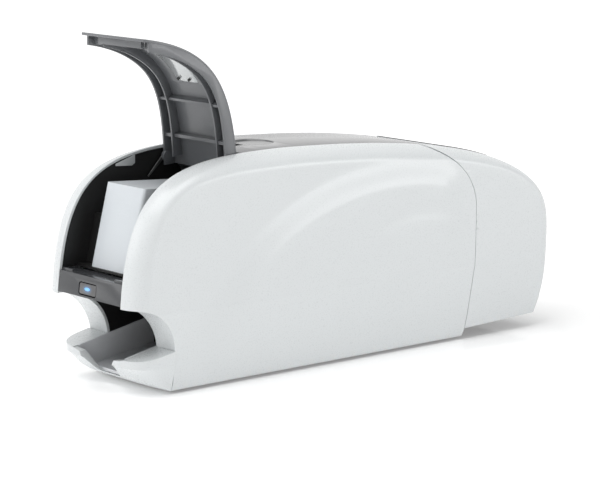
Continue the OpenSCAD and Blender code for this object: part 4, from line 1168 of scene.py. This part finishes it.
dress("output_chute", black_plastic)
liner_edge = wall_at(liner_foot) + LINER_FIT
edge_z, rear_z = floor_at(liner_edge), floor_at(LINER_REAR)
floor_outline = [(liner_edge, edge_z), (LINER_REAR, rear_z),
                 (LINER_REAR, rear_z - LINER_T), (liner_edge, edge_z - LINER_T)]
liner = as_object(slab(floor_outline, -LINER_X, LINER_X), "liner_moulding")
lip = block((-LINER_X, liner_edge, edge_z - LIP_HALF),
            (LINER_X, liner_edge + LINER_T, edge_z + LIP_HALF))
carve(liner, "UNION", lip)
wall_outline = [(liner_edge, edge_z - LINER_T), (wall_at(CORNER_Z) + LINER_FIT, CORNER_Z),
                (LINER_REAR, tray_top(LINER_REAR)), (LINER_REAR, rear_z - LINER_T)]
for side in (-1, 1):
    carve(liner, "UNION", slab(wall_outline, *on_side(side, LINER_X - LINER_T, LINER_X)))
soften(liner, width=0.5 * MM)
liner_grey = moulded("liner_grey", grey(222, (0.98, 1.0, 1.03)), roughness=0.24, grain=0.02,
                     coat=0.25)
finish(liner, liner_grey)
hand_over(liner, "chassis", "grey_inner", "tray_liner")

# --- Card drive ----------------------------------------------------------------------
# Steel side frames carry five rubber rollers in brass bushes and three steel idlers. One
# motor turns them all through two toothed belts.

brass = moulded("brass", (0.62, 0.44, 0.16, 1.0), roughness=0.3, grain=0.02, metallic=1.0)
roller_rubber = moulded("roller_rubber", grey(44), roughness=0.75, grain=0.08)
cleaning_rubber = moulded("cleaning_rubber", (0.55, 0.20, 0.24, 1.0), roughness=0.5, grain=0.03)
belt_rubber = moulded("belt_rubber", grey(34), roughness=0.8, grain=0.15)
motor_steel = moulded("motor_steel", grey(150), roughness=0.38, grain=0.03, metallic=1.0,
                      shade=0.08)
inner_grey = moulded("inner_grey", grey(112), roughness=0.5, grain=0.05)
for material, nodes in (
        (steel, ("left_frame", "right_frame", "frame_rods", "frame_screws", "cleaning_idler",
                 "front_idler", "rear_idler", "head_bracket", "top_hinge_pins", "flipper_bracket")),
        (brass, ("roller_bushes",)),
        (roller_rubber, ("pick_roller", "front_feed_roller", "platen_roller", "rear_feed_roller",
                         "flipper_roller_front", "flipper_roller_rear")),
        (cleaning_rubber, ("cleaning_roller",)),
        (belt_rubber, ("feed_belt", "drive_belt", "ribbon_belt")),
        (motor_steel, ("main_motor", "motor_pulley", "ribbon_motor", "ribbon_pulley",
                       "flipper_motor")),
        (inner_grey, ("divert_gate", "ribbon_frame", "flipper_drum"))):
    for node in nodes:
        dress(node, material)

# --- Print head and ribbon -----------------------------------------------------------
# The black print head hangs under the top cover below its finned aluminium heat sink. Ink
# ribbon is wound on two plastic cores beside it.

dress("print_head", black_plastic)
fin_metal = moulded("fin_metal", grey(172), roughness=0.45, grain=0.06, metallic=1.0, shade=0.04)
dress("heat_sink", fin_metal)
ribbon_film = moulded("ribbon_film", (0.02, 0.03, 0.09, 1.0), roughness=0.2, grain=0.02, coat=0.3)
for node in ("supply_spool", "take_up_spool"):
    dress(node, ribbon_film)

# --- Electronics and rear sockets ----------------------------------------------------
# The green main board stands on the left-hand frame with the cooling fan. The sockets and
# the rocker switch open through the rear cover.

board_green = moulded("board_green", (0.03, 0.16, 0.07, 1.0), roughness=0.4, coat=0.2, shade=0.2)
dress("main_board", board_green)
dress("data_ports", steel)
for node in ("board_parts", "fan_frame", "fan_rotor", "power_inlet", "switch_frame",
             "power_switch"):
    dress(node, black_plastic)
